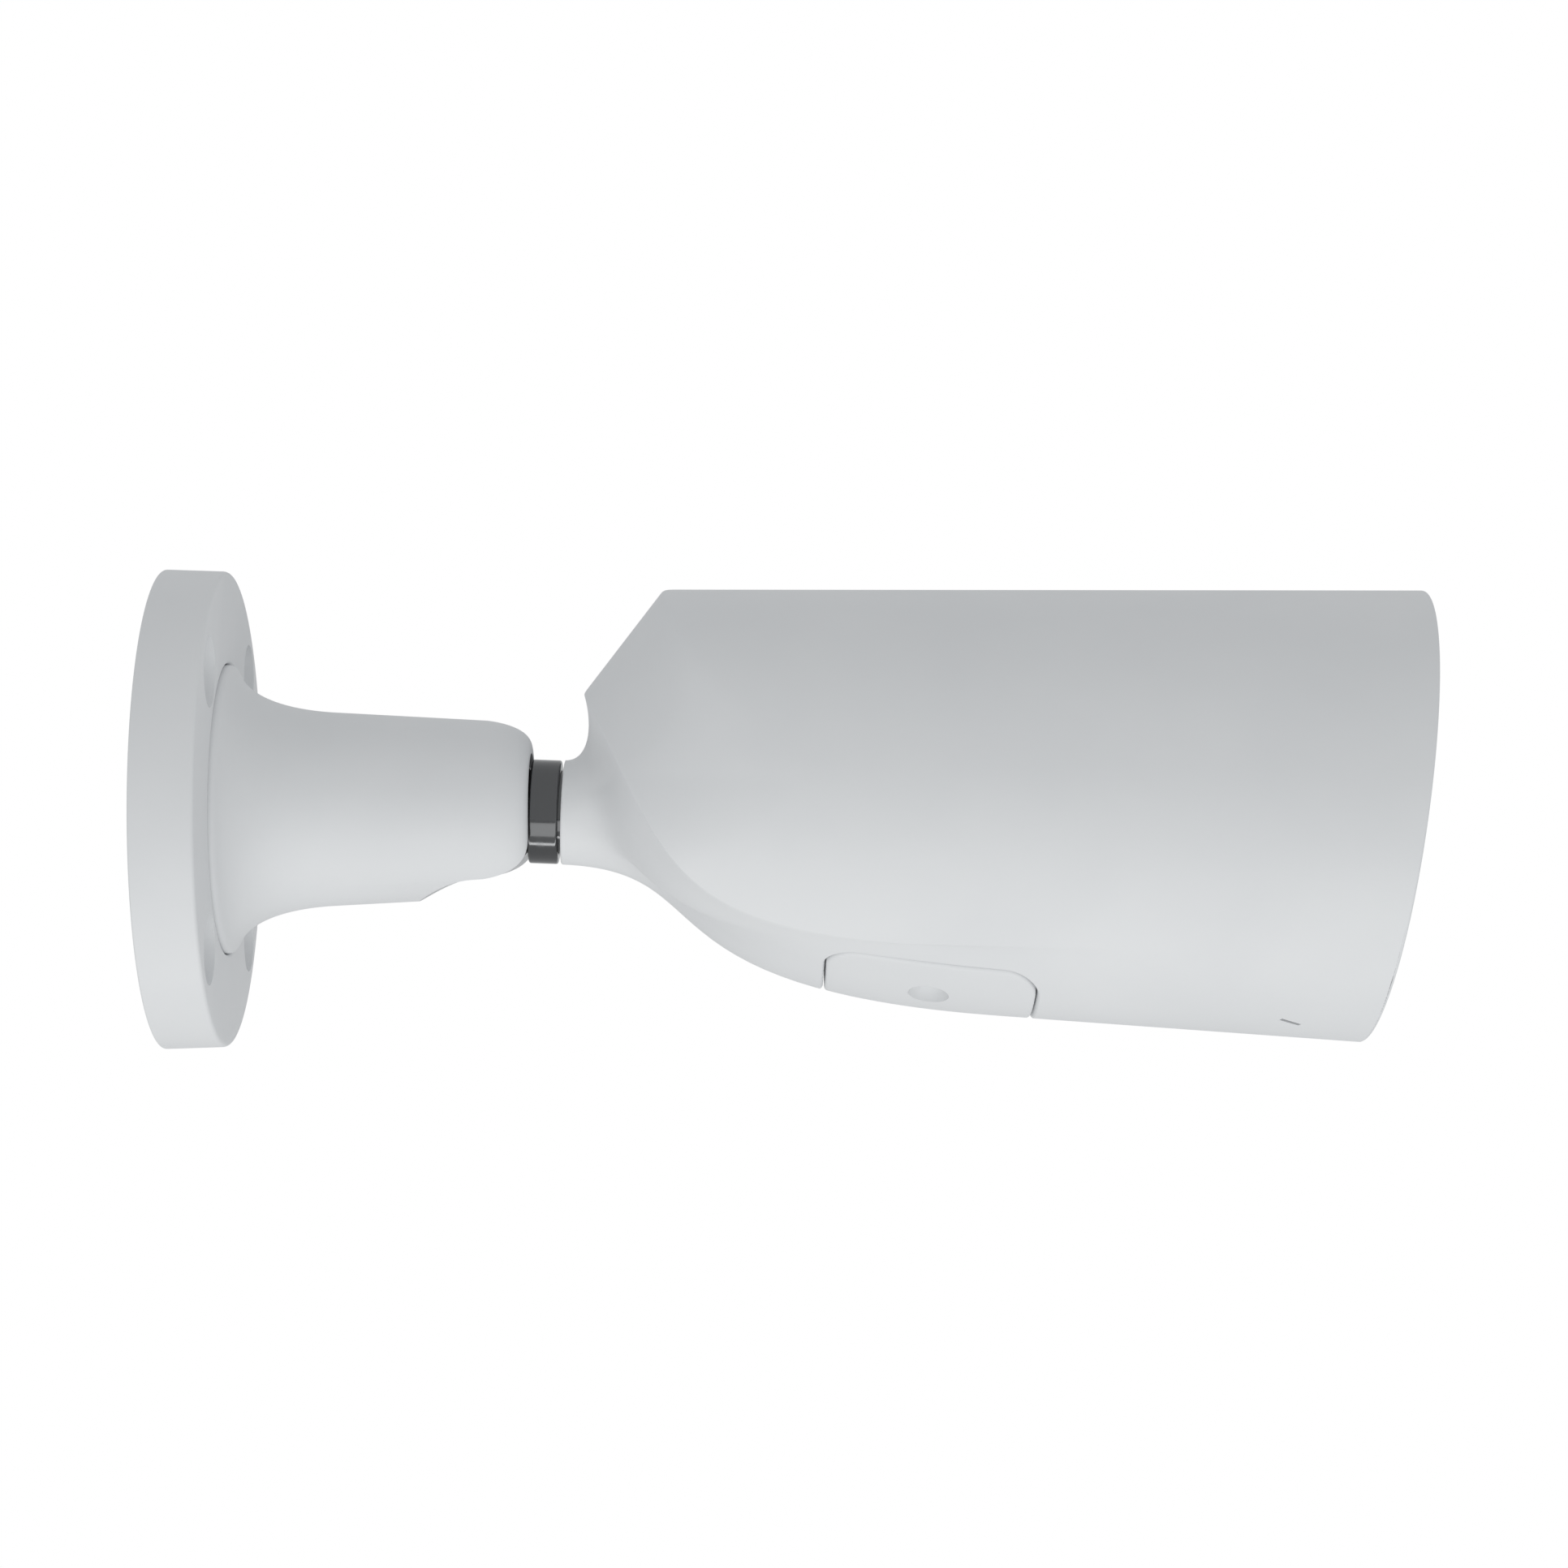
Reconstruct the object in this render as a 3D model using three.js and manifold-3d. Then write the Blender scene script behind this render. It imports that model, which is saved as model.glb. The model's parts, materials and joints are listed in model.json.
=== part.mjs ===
// Outdoor bullet camera on a ball-jointed wall arm.
// Frame: millimetres, origin at the centre of the base plate's wall face,
// +X away from the wall along the arm, +Z up.
import * as THREE from "three";
import { mergeVertices } from "three/addons/utils/BufferGeometryUtils.js";
import Module from "manifold-3d";

const wasm = await Module();
wasm.setup();

const RAD = Math.PI / 180;
const GAP = 0.3; // clearance between pieces that rest on each other

// ---- driving dimensions: wall plate and arm -------------------------------------------
const PLATE = {
  backR: 47.5,
  frontR: 47.1,
  thick: 12.3,
  edge: 1.0,
  rimR: 43.8, // inside of the rim at the back
  webX: 5.0, // back face of the web
  holeR: 20.0,
  recessR: 28.9,
  recessX: 9.0,
};
const WALL_HOLE = { spacing: 53.2, mouthR: 7.0, boreR: 4.35, throughR: 2.6, floorX: 4.2, bossR: 7.5 };
const ARM = {
  footR: 28.3,
  footFront: 13.3,
  spigotR: 19.7,
  spigotX: 5.2,
  bellEndX: 34,
  bellEndR: 19.15,
  shoulderX: 63.4,
  shoulderR: 17.58,
  noseX: 72.2,
  noseR: 12.4,
  boreR: 15.3,
  slotR: 11.1,
};
const RETAINER = { x0: 2.4, x1: 4.7, outerR: 25, innerR: 12, screwR: 16.2, shankR: 1.3, headR: 2.5 };

// ---- driving dimensions: ball joint ----------------------------------------------------
const BALL = { x: 61.1, r: 13.5, boreR: 4.5 };
const STEM = { r: 8.0, grooveR: 7.0, grooveS: 38.0, flangeS: 40.4, endS: 41.4 };
const COLLAR = { s0: 11.0, s1: 16.8, r: 10.3, innerR: 8.3, chamfer: 0.35 };
const TILT = 2.1 * RAD; // how far the stem points below the horizontal at rest

// ---- driving dimensions: camera body, along s (stem axis), y (sideways), h (up) --------
const NECK = { s: 17.4, r: 10.36 };
const HOOD = { rise: 5.1, r0: 38.52, taper: 0.0354, wall: 2.6 };
const RIM = { s0: 180.93, lean: 0.1026 }; // the rim's plane is s = s0 + lean * h
const REAR = { r: 42, lean: 54.53 * RAD, offset: 3.09 }; // tilted cylinder that rounds the rear
// side outline of the undercut, and the belly line under the camera, as cubic Bezier points
const CREASE = [[20.74, 23.78], [44.1, -10.3], [34.4, -24.1], [110, -22.5]];
const BELLY_END = 105;
const BELLY = { neckPull: 0.363, topPull: 0.44, bottomPull: 0.81 };
const COVER = { s0: 70.4, s1: 111.1, halfY: 26, corner: 6.5, gap: 0.5, thick: 2.2, pocket: 3.6 };
const BAY = { s0: 73.5, s1: 108, halfY: 9, corner: 3, frame: 3, frameDepth: 6 };
const COVER_SCREW = { s: 90.5, y: 15.6, dishR: 4.0, headR: 2.9, shankR: 1.5 };
const FRONT = { windowS: 164, windowR: 37.6, windowThick: 3, bezelS0: 159.5, bezelS1: 168.4 };
const MIC_SLOT = { s: 160.7, angle: -66 * RAD, turn: 30 * RAD, length: 4.6, width: 0.9 };
const DRAIN = { s: 161.5, length: 7.4, width: 2.4, depth: 0.6 };

// ---- driving dimensions: lens drive ----------------------------------------------------
const GEAR = { module: 0.9, ringTeeth: 36, pinionTeeth: 12, thick: 4 };
const ZOOM = { s: 138, angle: 48 * RAD };
const FOCUS = { s: 127, angle: 132 * RAD };
const LED = { count: 8, circleR: 27, r: 2.9, s: 155.9 };

// ---- small geometry kit ----------------------------------------------------------------
function solid(geometry) {
  const bare = geometry.clone();
  bare.deleteAttribute("normal");
  bare.deleteAttribute("uv");
  const merged = mergeVertices(bare, 1e-4);
  const made = new wasm.Manifold(
    new wasm.Mesh({
      numProp: 3,
      vertProperties: merged.attributes.position.array,
      triVerts: new Uint32Array(merged.index.array),
    }),
  );
  return made;
}

function geometryOf(manifold) {
  const mesh = manifold.getMesh();
  const geometry = new THREE.BufferGeometry();
  geometry.setAttribute("position", new THREE.BufferAttribute(mesh.vertProperties, 3));
  geometry.setIndex(new THREE.BufferAttribute(mesh.triVerts, 1));
  return geometry;
}

// A solid of revolution about X from a closed outline of [x, radius] points.
function turned(outline, segments = 24) {
  const area = outline.reduce((sum, [x, r], i) => {
    const [nextX, nextR] = outline[(i + 1) % outline.length];
    return sum + x * nextR - nextX * r;
  }, 0);
  const ordered = area > 0 ? [...outline].reverse() : outline;
  const onAxis = ordered.some(([, r]) => r === 0);
  const points = ordered.map(([x, r]) => new THREE.Vector2(r, x));
  if (onAxis) {
    // start at the second of the two points on the axis, so that the profile ends on the first
    const start = ordered.findIndex(([, r], i) => r === 0 && ordered[(i + 1) % ordered.length][1] > 0);
    points.push(...points.splice(0, start));
  } else {
    points.push(points[0].clone());
  }
  const geometry = new THREE.LatheGeometry(points, segments);
  geometry.rotateZ(-Math.PI / 2);
  return solid(geometry);
}

const rod = (x0, x1, r, segments) => turned([[x0, 0], [x0, r], [x1, r], [x1, 0]], segments);
const ring = (x0, x1, inner, outer, segments) =>
  turned([[x0, inner], [x0, outer], [x1, outer], [x1, inner]], segments);

function block(x0, x1, y0, y1, z0, z1) {
  const geometry = new THREE.BoxGeometry(x1 - x0, y1 - y0, z1 - z0);
  geometry.translate((x0 + x1) / 2, (y0 + y1) / 2, (z0 + z1) / 2);
  return solid(geometry);
}

function turnedBy(manifold, axis, angle) {
  const matrix = new THREE.Matrix4().makeRotationAxis(axis, angle);
  return manifold.transform(matrix.elements);
}
const aboutX = (manifold, angle) => turnedBy(manifold, new THREE.Vector3(1, 0, 0), angle);
const aboutY = (manifold, angle) => turnedBy(manifold, new THREE.Vector3(0, 1, 0), angle);

// Turns an extrusion's own x, y, z into the frame's y, z, x, and starts it at x = start.
function alongX(start) {
  return new THREE.Matrix4().set(0, 0, 1, start, 1, 0, 0, 0, 0, 1, 0, 0, 0, 0, 0, 1);
}

// A vertical prism over a rounded rectangle, from z0 to z1.
function roundedPrism(x0, x1, halfY, corner, z0, z1) {
  const shape = new THREE.Shape();
  shape.moveTo(x0 + corner, -halfY);
  shape.lineTo(x1 - corner, -halfY);
  shape.absarc(x1 - corner, -halfY + corner, corner, -Math.PI / 2, 0);
  shape.lineTo(x1, halfY - corner);
  shape.absarc(x1 - corner, halfY - corner, corner, 0, Math.PI / 2);
  shape.lineTo(x0 + corner, halfY);
  shape.absarc(x0 + corner, halfY - corner, corner, Math.PI / 2, Math.PI);
  shape.lineTo(x0, -halfY + corner);
  shape.absarc(x0 + corner, -halfY + corner, corner, Math.PI, 1.5 * Math.PI);
  const extrusion = { depth: z1 - z0, bevelEnabled: false, curveSegments: 5 };
  const geometry = new THREE.ExtrudeGeometry(shape, extrusion);
  geometry.translate(0, 0, z0);
  return solid(geometry);
}

function bezier(points, t) {
  const k = 1 - t;
  const weights = [k * k * k, 3 * k * k * t, 3 * k * t * t, t * t * t];
  return points[0].map((_, axis) => points.reduce((sum, p, i) => sum + weights[i] * p[axis], 0));
}

function curve(points, steps) {
  return Array.from({ length: steps + 1 }, (_, i) => bezier(points, i / steps));
}

const root = new THREE.Group();
const aimed = new THREE.Group(); // everything that tilts with the stem, in s, y, h
aimed.position.set(BALL.x, 0, 0);
aimed.rotation.y = TILT;
root.add(aimed);

const FINISH = {
  shell: [0xdcdee0, 0.45, 0.0],
  gunmetal: [0x4a4b4d, 0.3, 0.8],
  steel: [0xb4b6b8, 0.35, 1.0],
  aluminium: [0xa9acae, 0.5, 0.9],
  black: [0x17181a, 0.5, 0.0],
  rubber: [0x1c1c1d, 0.9, 0.0],
  glass: [0x1a2226, 0.05, 0.0],
  lens: [0x26324a, 0.03, 0.0],
  board: [0x14532d, 0.6, 0.0],
  brass: [0xb08d3c, 0.4, 1.0],
  amber: [0x3a2a24, 0.15, 0.0],
  chip: [0x202124, 0.5, 0.0],
};

function add(group, name, finish, manifold) {
  const [color, roughness, metalness] = FINISH[finish];
  const material = new THREE.MeshStandardMaterial({ color, roughness, metalness });
  const mesh = new THREE.Mesh(geometryOf(manifold), material);
  mesh.name = name;
  group.add(mesh);
}

// ---- wall plate ------------------------------------------------------------------------
function wallPlate() {
  const p = PLATE;
  const outline = [
    [0, p.rimR],
    [0, p.backR],
    [p.thick - p.edge, p.frontR],
    [p.thick - 0.3 * p.edge, p.frontR - 0.3 * p.edge],
    [p.thick, p.frontR - p.edge],
    [p.thick, p.recessR],
    [p.recessX, p.recessR],
    [p.recessX, p.holeR],
    [p.webX, p.holeR],
    [p.webX, p.rimR],
  ];
  let plate = turned(outline, 32);
  const w = WALL_HOLE;
  const boss = rod(0, p.webX + 1, w.bossR, 16);
  const hole = turned(
    [
      [-1, 0],
      [-1, w.throughR],
      [w.floorX, w.throughR],
      [w.floorX, w.boreR],
      [p.thick - 1.6, w.boreR],
      [p.thick - 0.9, w.boreR + 0.6],
      [p.thick, w.mouthR],
      [p.thick + 1, w.mouthR],
      [p.thick + 1, 0],
    ],
    16,
  );
  for (const y of [-1, 1])
    for (const z of [-1, 1]) {
      const at = [0, (y * w.spacing) / 2, (z * w.spacing) / 2];
      plate = plate.add(boss.translate(at)).subtract(hole.translate(at));
    }
  return plate;
}

add(root, "base_plate", "shell", wallPlate());
add(root, "cable_entry_gasket", "rubber", ring(GAP / 2, PLATE.webX - GAP, 26, 29.5, 32));

// ---- arm -------------------------------------------------------------------------------
function armSolid() {
  const a = ARM;
  const bell = curve([[a.footFront, a.footR], [14.8, 22.2], [24, 19.6], [a.bellEndX, a.bellEndR]], 7);
  const nose = curve([[a.shoulderX, a.shoulderR], [68, 17], [a.noseX, 15.4], [a.noseX, a.noseR]], 5);
  const outline = [
    [a.spigotX, a.boreR],
    [a.spigotX, a.spigotR],
    [PLATE.recessX + GAP, a.spigotR],
    [PLATE.recessX + GAP, a.footR],
    ...bell,
    ...nose,
    [a.noseX, a.slotR],
    [BALL.x + 8.4, a.slotR + 0.2],
    [BALL.x + 4.9, a.boreR],
  ];
  // the way that the stem needs as it swings from straight out to straight down
  const along = rod(0, 30, a.slotR, 32);
  const down = aboutY(along, Math.PI / 2);
  const between = block(0, 30, -a.slotR, a.slotR, -30, 0);
  const swing = along.add(down).add(between).translate([BALL.x, 0, 0]);
  let arm = turned(outline, 44).subtract(swing);
  for (const angle of screwAngles())
    arm = arm.subtract(aboutX(rod(0, 8, 1.6, 12).translate([0, 0, RETAINER.screwR + 1.3]), angle));
  return arm;
}

function screwAngles() {
  return [0, 120, 240].map((degrees) => degrees * RAD);
}

function retainer() {
  const r = RETAINER;
  let plate = ring(r.x0, r.x1, r.innerR, r.outerR, 32);
  for (const angle of screwAngles())
    plate = plate.subtract(aboutX(rod(0, 8, 1.6, 12).translate([0, 0, r.screwR + 1.3]), angle));
  return plate;
}

function retainerScrew() {
  const r = RETAINER;
  const head = r.x0 - GAP;
  const top = head - 1.6;
  const tip = 7.6;
  const outline = [[top, 0], [top, r.headR], [head, r.headR], [head, r.shankR], [tip, r.shankR], [tip, 0]];
  return turned(outline, 16)
    .translate([0, 0, r.screwR + 1.3]);
}

const slotCut = block(0, 30, -11.4, 11.4, -30, 0).translate([BALL.x, 0, 0]);

add(root, "arm", "shell", armSolid());
add(root, "pan_retainer", "steel", retainer());
screwAngles().forEach((angle, i) => add(root, `pan_screw_${i + 1}`, "steel", aboutX(retainerScrew(), angle)));
add(
  root,
  "ball_seat_front",
  "black",
  turned([[0.5, 13.95], [0.5, 15], [4.6, 15], [6.1, 13.4], [6.1, 12.6], [3.4, 13.5]], 32)
    .translate([BALL.x, 0, 0])
    .subtract(slotCut),
);
const rearSeat = [[46.1, 6.2], [46.1, 15], [49.7, 15], [49.7, 7.95], [48.65, 6.2]];
add(root, "ball_seat_rear", "black", turned(rearSeat, 32));
add(root, "seat_spring", "steel", ring(43.6, 45.8, 9.5, 14.6, 32));
add(root, "clamp_nut", "brass", ring(38.5, 43.2, 9, 15, 32));

// ---- ball and stem, in s, y, h ---------------------------------------------------------
function ballStem() {
  const joinS = Math.sqrt(BALL.r ** 2 - STEM.r ** 2);
  const steps = 10;
  const rearAngle = Math.asin(BALL.boreR / BALL.r);
  const frontAngle = Math.asin(STEM.r / BALL.r);
  const ball = Array.from({ length: steps + 1 }, (_, i) => {
    const angle = Math.PI - rearAngle + ((frontAngle + rearAngle - Math.PI) * i) / steps;
    return [BALL.r * Math.cos(angle), BALL.r * Math.sin(angle)];
  });
  ball[steps] = [joinS, STEM.r];
  const outline = [
    ...ball,
    [STEM.grooveS, STEM.r],
    [STEM.grooveS, STEM.grooveR],
    [STEM.flangeS, STEM.grooveR],
    [STEM.flangeS, STEM.r],
    [STEM.endS, STEM.r],
    [STEM.endS, BALL.boreR],
  ];
  return turned(outline, 32).subtract(ring(27, 29.4, 6.9, 9, 32));
}

function collar() {
  const c = COLLAR;
  return turned(
    [
      [c.s0, c.innerR],
      [c.s0, c.r - c.chamfer],
      [c.s0 + c.chamfer, c.r],
      [c.s1 - c.chamfer, c.r],
      [c.s1, c.r - c.chamfer],
      [c.s1, c.innerR],
    ],
    40,
  );
}

add(aimed, "ball_stem", "gunmetal", ballStem());
add(aimed, "stem_o_ring", "rubber", ring(27.3, 29.1, 7.1, 8.15, 32));
add(aimed, "stem_clip", "steel", ring(STEM.grooveS + GAP, STEM.flangeS - GAP, STEM.grooveR + GAP, 10.2, 32));
add(aimed, "locking_collar", "gunmetal", collar());

// ---- camera body surface ---------------------------------------------------------------
// The hood is a cone about an axis above the stem, rounded behind by a tilted cylinder and
// trimmed by the undercut; a blended surface runs from the round neck out to that trim.
const hoodR = (s) => HOOD.r0 + HOOD.taper * s;
const behind = (s, h) => Math.cos(REAR.lean - Math.PI / 2) * s - Math.cos(REAR.lean) * h;
const rearDepth = (s, h) => behind(s, h) - REAR.offset;

function hoodHalfWidth(s, h) {
  const cone = Math.sqrt(Math.max(0, hoodR(s) ** 2 - (h - HOOD.rise) ** 2));
  const depth = rearDepth(s, h);
  if (depth >= REAR.r) return cone;
  return Math.min(cone, Math.sqrt(Math.max(0, REAR.r ** 2 - (REAR.r - depth) ** 2)));
}

function hoodNormal([s, y, h]) {
  const depth = rearDepth(s, h);
  const cone = Math.sqrt(Math.max(0, hoodR(s) ** 2 - (h - HOOD.rise) ** 2));
  const normal = new THREE.Vector3();
  if (depth < REAR.r && y < cone - 1e-6)
    normal.set(-Math.sin(REAR.lean) * (REAR.r - depth), y, Math.cos(REAR.lean) * (REAR.r - depth));
  else normal.set(-HOOD.taper * hoodR(s), y, h - HOOD.rise);
  return normal.normalize();
}

const conePoint = (s, angle) => [s, hoodR(s) * Math.cos(angle), HOOD.rise + hoodR(s) * Math.sin(angle)];

// Bezier parameter at which the crease reaches a given s.
function creaseAt(s) {
  let low = 0;
  let high = 1;
  for (let i = 0; i < 50; i++) {
    const middle = (low + high) / 2;
    if (bezier(CREASE, middle)[0] < s) low = middle;
    else high = middle;
  }
  return low;
}

// Where the crease crosses from the rear cylinder on to the cone.
function crossing() {
  let low = 0.05;
  let high = 0.6;
  for (let i = 0; i < 50; i++) {
    const middle = (low + high) / 2;
    const [s, h] = bezier(CREASE, middle);
    const cone = Math.sqrt(hoodR(s) ** 2 - (h - HOOD.rise) ** 2);
    const depth = rearDepth(s, h);
    const onRear = depth < REAR.r && Math.sqrt(REAR.r ** 2 - (REAR.r - depth) ** 2) < cone;
    if (onRear) low = middle;
    else high = middle;
  }
  return low;
}

const CREASE_CROSS = crossing();
const CREASE_LAST = creaseAt(84);
const U_CROSS = 0.4; // share of the columns that start on the rear cylinder
const U_TURN = 0.7; // share at which the trim leaves the crease and turns under the belly

// The trim that the neck surface ends on, as a point and its tangent: u runs from the top
// centre (0), down the crease and round under the belly to the bottom centre (1).
function trimPoint(u) {
  if (u <= U_TURN) {
    const share = u / U_CROSS;
    const t = u <= U_CROSS
      ? CREASE_CROSS * share * share
      : CREASE_CROSS + ((CREASE_LAST - CREASE_CROSS) * (u - U_CROSS)) / (U_TURN - U_CROSS);
    const [s, h] = bezier(CREASE, t);
    return [s, hoodHalfWidth(s, h), h];
  }
  const quarter = ((u - U_TURN) / (1 - U_TURN)) * (Math.PI / 2);
  const [s, h] = bezier(CREASE, CREASE_LAST);
  const angle = Math.asin((h - HOOD.rise) / hoodR(s));
  return conePoint(
    s + (BELLY_END - s) * Math.sin(quarter),
    angle + (-Math.PI / 2 - angle) * (1 - Math.cos(quarter)),
  );
}

// How sharply the neck surface meets the hood at the trim.
function kink(u, s) {
  if (u >= U_TURN) return 0;
  const fade = THREE.MathUtils.clamp((84 - s) / (84 - 36), 0, 1);
  return 54 * RAD * fade ** 1.3;
}

// One column of the neck surface, as Bezier points from the neck's circle to the trim.
function neckColumn(u) {
  const step = 1e-3;
  const end = trimPoint(u);
  const E = new THREE.Vector3(...end);
  const before = new THREE.Vector3(...trimPoint(Math.max(0, u - step)));
  const after = new THREE.Vector3(...trimPoint(Math.min(1, u + step)));
  const along = after.sub(before).normalize();
  if (u === 0 || u === 1) along.set(0, u === 0 ? 1 : -1, 0);
  const normal = hoodNormal(end);
  const forward = new THREE.Vector3().crossVectors(normal, along).normalize();
  if (forward.dot(new THREE.Vector3(1, 0, 0.8)) < 0) forward.negate();
  const bend = kink(u, E.x);
  const outward = forward.clone().multiplyScalar(Math.cos(bend)).addScaledVector(normal, Math.sin(bend));
  const surfaceNormal = new THREE.Vector3().crossVectors(along, outward).normalize();
  const ownAngle = Math.atan2(E.z, Math.max(0, E.y));
  const evenAngle = Math.PI / 2 - Math.PI * u;
  const angle = (ownAngle + evenAngle) / 2;
  const N = new THREE.Vector3(NECK.s, NECK.r * Math.cos(angle), NECK.r * Math.sin(angle));
  const chord = E.distanceTo(N);
  const P1 = N.clone();
  P1.x += BELLY.neckPull * chord;
  const tangent = E.clone().sub(P1);
  tangent.addScaledVector(surfaceNormal, -tangent.dot(surfaceNormal)).normalize();
  const pull = (BELLY.topPull + (BELLY.bottomPull - BELLY.topPull) * u) * chord;
  const P2 = E.clone().addScaledVector(tangent, -pull);
  return [N.toArray(), P1.toArray(), P2.toArray(), end];
}

// The edge where the rear cylinder meets the cone, at a given angle about the cone's axis.
function rearEdge(angle) {
  let low = 0;
  let high = 90;
  for (let i = 0; i < 50; i++) {
    const middle = (low + high) / 2;
    const [s, y, h] = conePoint(middle, angle);
    const depth = rearDepth(s, h);
    const outside = depth < REAR.r && y ** 2 + (REAR.r - depth) ** 2 > REAR.r ** 2;
    if (outside) low = middle;
    else high = middle;
  }
  return high;
}

function rimPoint(angle) {
  const rise = Math.sin(angle);
  const s = (RIM.s0 + RIM.lean * (HOOD.rise + HOOD.r0 * rise)) / (1 - RIM.lean * HOOD.taper * rise);
  return conePoint(s, angle);
}

// Place on the rear cylinder: angle round it and distance along it.
function onRear([s, y, h]) {
  return [
    Math.atan2(y, REAR.r - rearDepth(s, h)),
    Math.cos(REAR.lean) * s + Math.sin(REAR.lean) * h,
  ];
}
function fromRear([turn, along]) {
  const depth = REAR.r - REAR.r * Math.cos(turn) + REAR.offset;
  return [
    Math.sin(REAR.lean) * depth + Math.cos(REAR.lean) * along,
    REAR.r * Math.sin(turn),
    -Math.cos(REAR.lean) * depth + Math.sin(REAR.lean) * along,
  ];
}
const mix = (a, b, t) => a.map((value, i) => value + (b[i] - value) * t);
const onCone = ([s, y, h]) => [s, Math.atan2(h - HOOD.rise, y)];

// One half-column of the whole body surface, from the neck's end to the rim.
function bodyColumn(u, rows) {
  const neck = neckColumn(u);
  const points = [];
  for (let i = 0; i <= rows.neck; i++) points.push(bezier(neck, i / rows.neck));
  const trim = neck[3];
  const crossAngle = onCone(trimPoint(U_CROSS))[1];
  const rim = onCone(rimPoint(Math.PI / 2 - Math.PI * u));
  let start;
  if (u < U_CROSS - 1e-9) {
    const edgeAngle = Math.PI / 2 + (crossAngle - Math.PI / 2) * (u / U_CROSS);
    start = [rearEdge(edgeAngle), edgeAngle];
    const from = onRear(trim);
    const to = onRear(conePoint(...start));
    for (let i = 1; i < rows.rear; i++) points.push(fromRear(mix(from, to, i / rows.rear)));
    points.push(conePoint(...start));
  } else {
    const spread = (0.12 * (u - U_CROSS)) / (1 - U_CROSS);
    const from = onCone(trim);
    start = mix(from, rim, spread);
    for (let i = 1; i <= rows.rear; i++) points.push(conePoint(...mix(from, start, i / rows.rear)));
  }
  for (let i = 1; i < rows.cone; i++) points.push(conePoint(...mix(start, rim, i / rows.cone)));
  points.push(rimPoint(Math.PI / 2 - Math.PI * u));
  return points;
}

// The body's outer surface as one closed solid.
function bodySolid(columns, rows) {
  const half = Array.from({ length: columns + 1 }, (_, i) => bodyColumn(i / columns, rows));
  const mirrored = half.slice(1, -1).reverse().map((column) => column.map(([s, y, h]) => [s, -y, h]));
  half[0].forEach((p) => (p[1] = 0));
  half[columns].forEach((p) => (p[1] = 0));
  const loop = [...half, ...mirrored];
  const count = half[0].length;
  const positions = loop.flat(2);
  const rimCentre = [RIM.s0 + RIM.lean * HOOD.rise, 0, HOOD.rise];
  positions.push(NECK.s, 0, 0, ...rimCentre);
  const back = loop.length * count;
  const triangles = [];
  loop.forEach((_, c) => {
    const here = c * count;
    const next = ((c + 1) % loop.length) * count;
    for (let r = 0; r < count - 1; r++)
      triangles.push([here + r, here + r + 1, next + r + 1], [here + r, next + r + 1, next + r]);
    triangles.push([here, next, back], [here + count - 1, back + 1, next + count - 1]);
  });
  const bare = new THREE.BufferGeometry();
  bare.setAttribute("position", new THREE.Float32BufferAttribute(positions, 3));
  bare.setIndex(triangles.flat());
  const merged = mergeVertices(bare, 1e-3);
  const index = Array.from(merged.index.array);
  const kept = [];
  for (let i = 0; i < index.length; i += 3) {
    const [a, b, c] = index.slice(i, i + 3);
    if (a !== b && b !== c && c !== a) kept.push(a, b, c);
  }
  merged.setIndex(kept);
  const made = solid(merged);
  if (made.volume() > 0) return made;
  for (let i = 0; i < kept.length; i += 3) [kept[i], kept[i + 1]] = [kept[i + 1], kept[i]];
  merged.setIndex(kept);
  return solid(merged);
}

const body = bodySolid(20, { neck: 7, rear: 3, cone: 5 });

// ---- housing ---------------------------------------------------------------------------
const centred = (manifold) => manifold.translate([0, 0, HOOD.rise]);

function innerCone(from, to, wall) {
  return centred(turned([[from, 0], [from, hoodR(from) - wall], [to, hoodR(to) - wall], [to, 0]], 32));
}

function innerRear(wall) {
  const tube = rod(-80, 80, REAR.r - wall, 32);
  const centre = REAR.offset + REAR.r;
  const place = [Math.sin(REAR.lean) * centre, 0, -Math.cos(REAR.lean) * centre];
  const ahead = block(0, 260, -80, 80, -260, 260);
  return aboutY(tube, -REAR.lean)
    .add(aboutY(ahead, Math.PI / 2 - REAR.lean))
    .translate(place);
}

// What lies above the belly's inner face, as sections that follow the belly and the crease.
function aboveBelly(wall) {
  const stations = [36, 42, 48, 55, 63, 72, 84, 96, 108];
  const steps = 12;
  const halfY = 50;
  const top = 70;
  const bottomLine = neckColumn(1);
  const bellyH = (s) => {
    let low = 0;
    let high = 1;
    for (let i = 0; i < 40; i++) {
      const middle = (low + high) / 2;
      if (bezier(bottomLine, middle)[0] < s) low = middle;
      else high = middle;
    }
    return s > BELLY_END ? HOOD.rise - hoodR(s) : bezier(bottomLine, low)[2];
  };
  let result = null;
  for (let i = 0; i < stations.length - 1; i++) {
    const shape = (s) => {
      const [, creaseH] = bezier(CREASE, creaseAt(s));
      const creaseY = hoodHalfWidth(s, creaseH);
      const low = bellyH(s) + wall;
      return Array.from({ length: steps + 1 }, (_, k) => {
        const y = -halfY + (2 * halfY * k) / steps;
        return [y, Math.min(top - 1, low + (creaseH - bellyH(s)) * (y / creaseY) ** 2)];
      });
    };
    const slabs = [stations[i], stations[i + 1]].map((s) => shape(s).map(([y, h]) => [s, y, h]));
    const cell = prismoid(slabs[0], slabs[1], top);
    result = result ? result.add(cell) : cell;
  }
  return result.add(block(stations.at(-1), 220, -halfY, halfY, -60, top));
}

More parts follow.
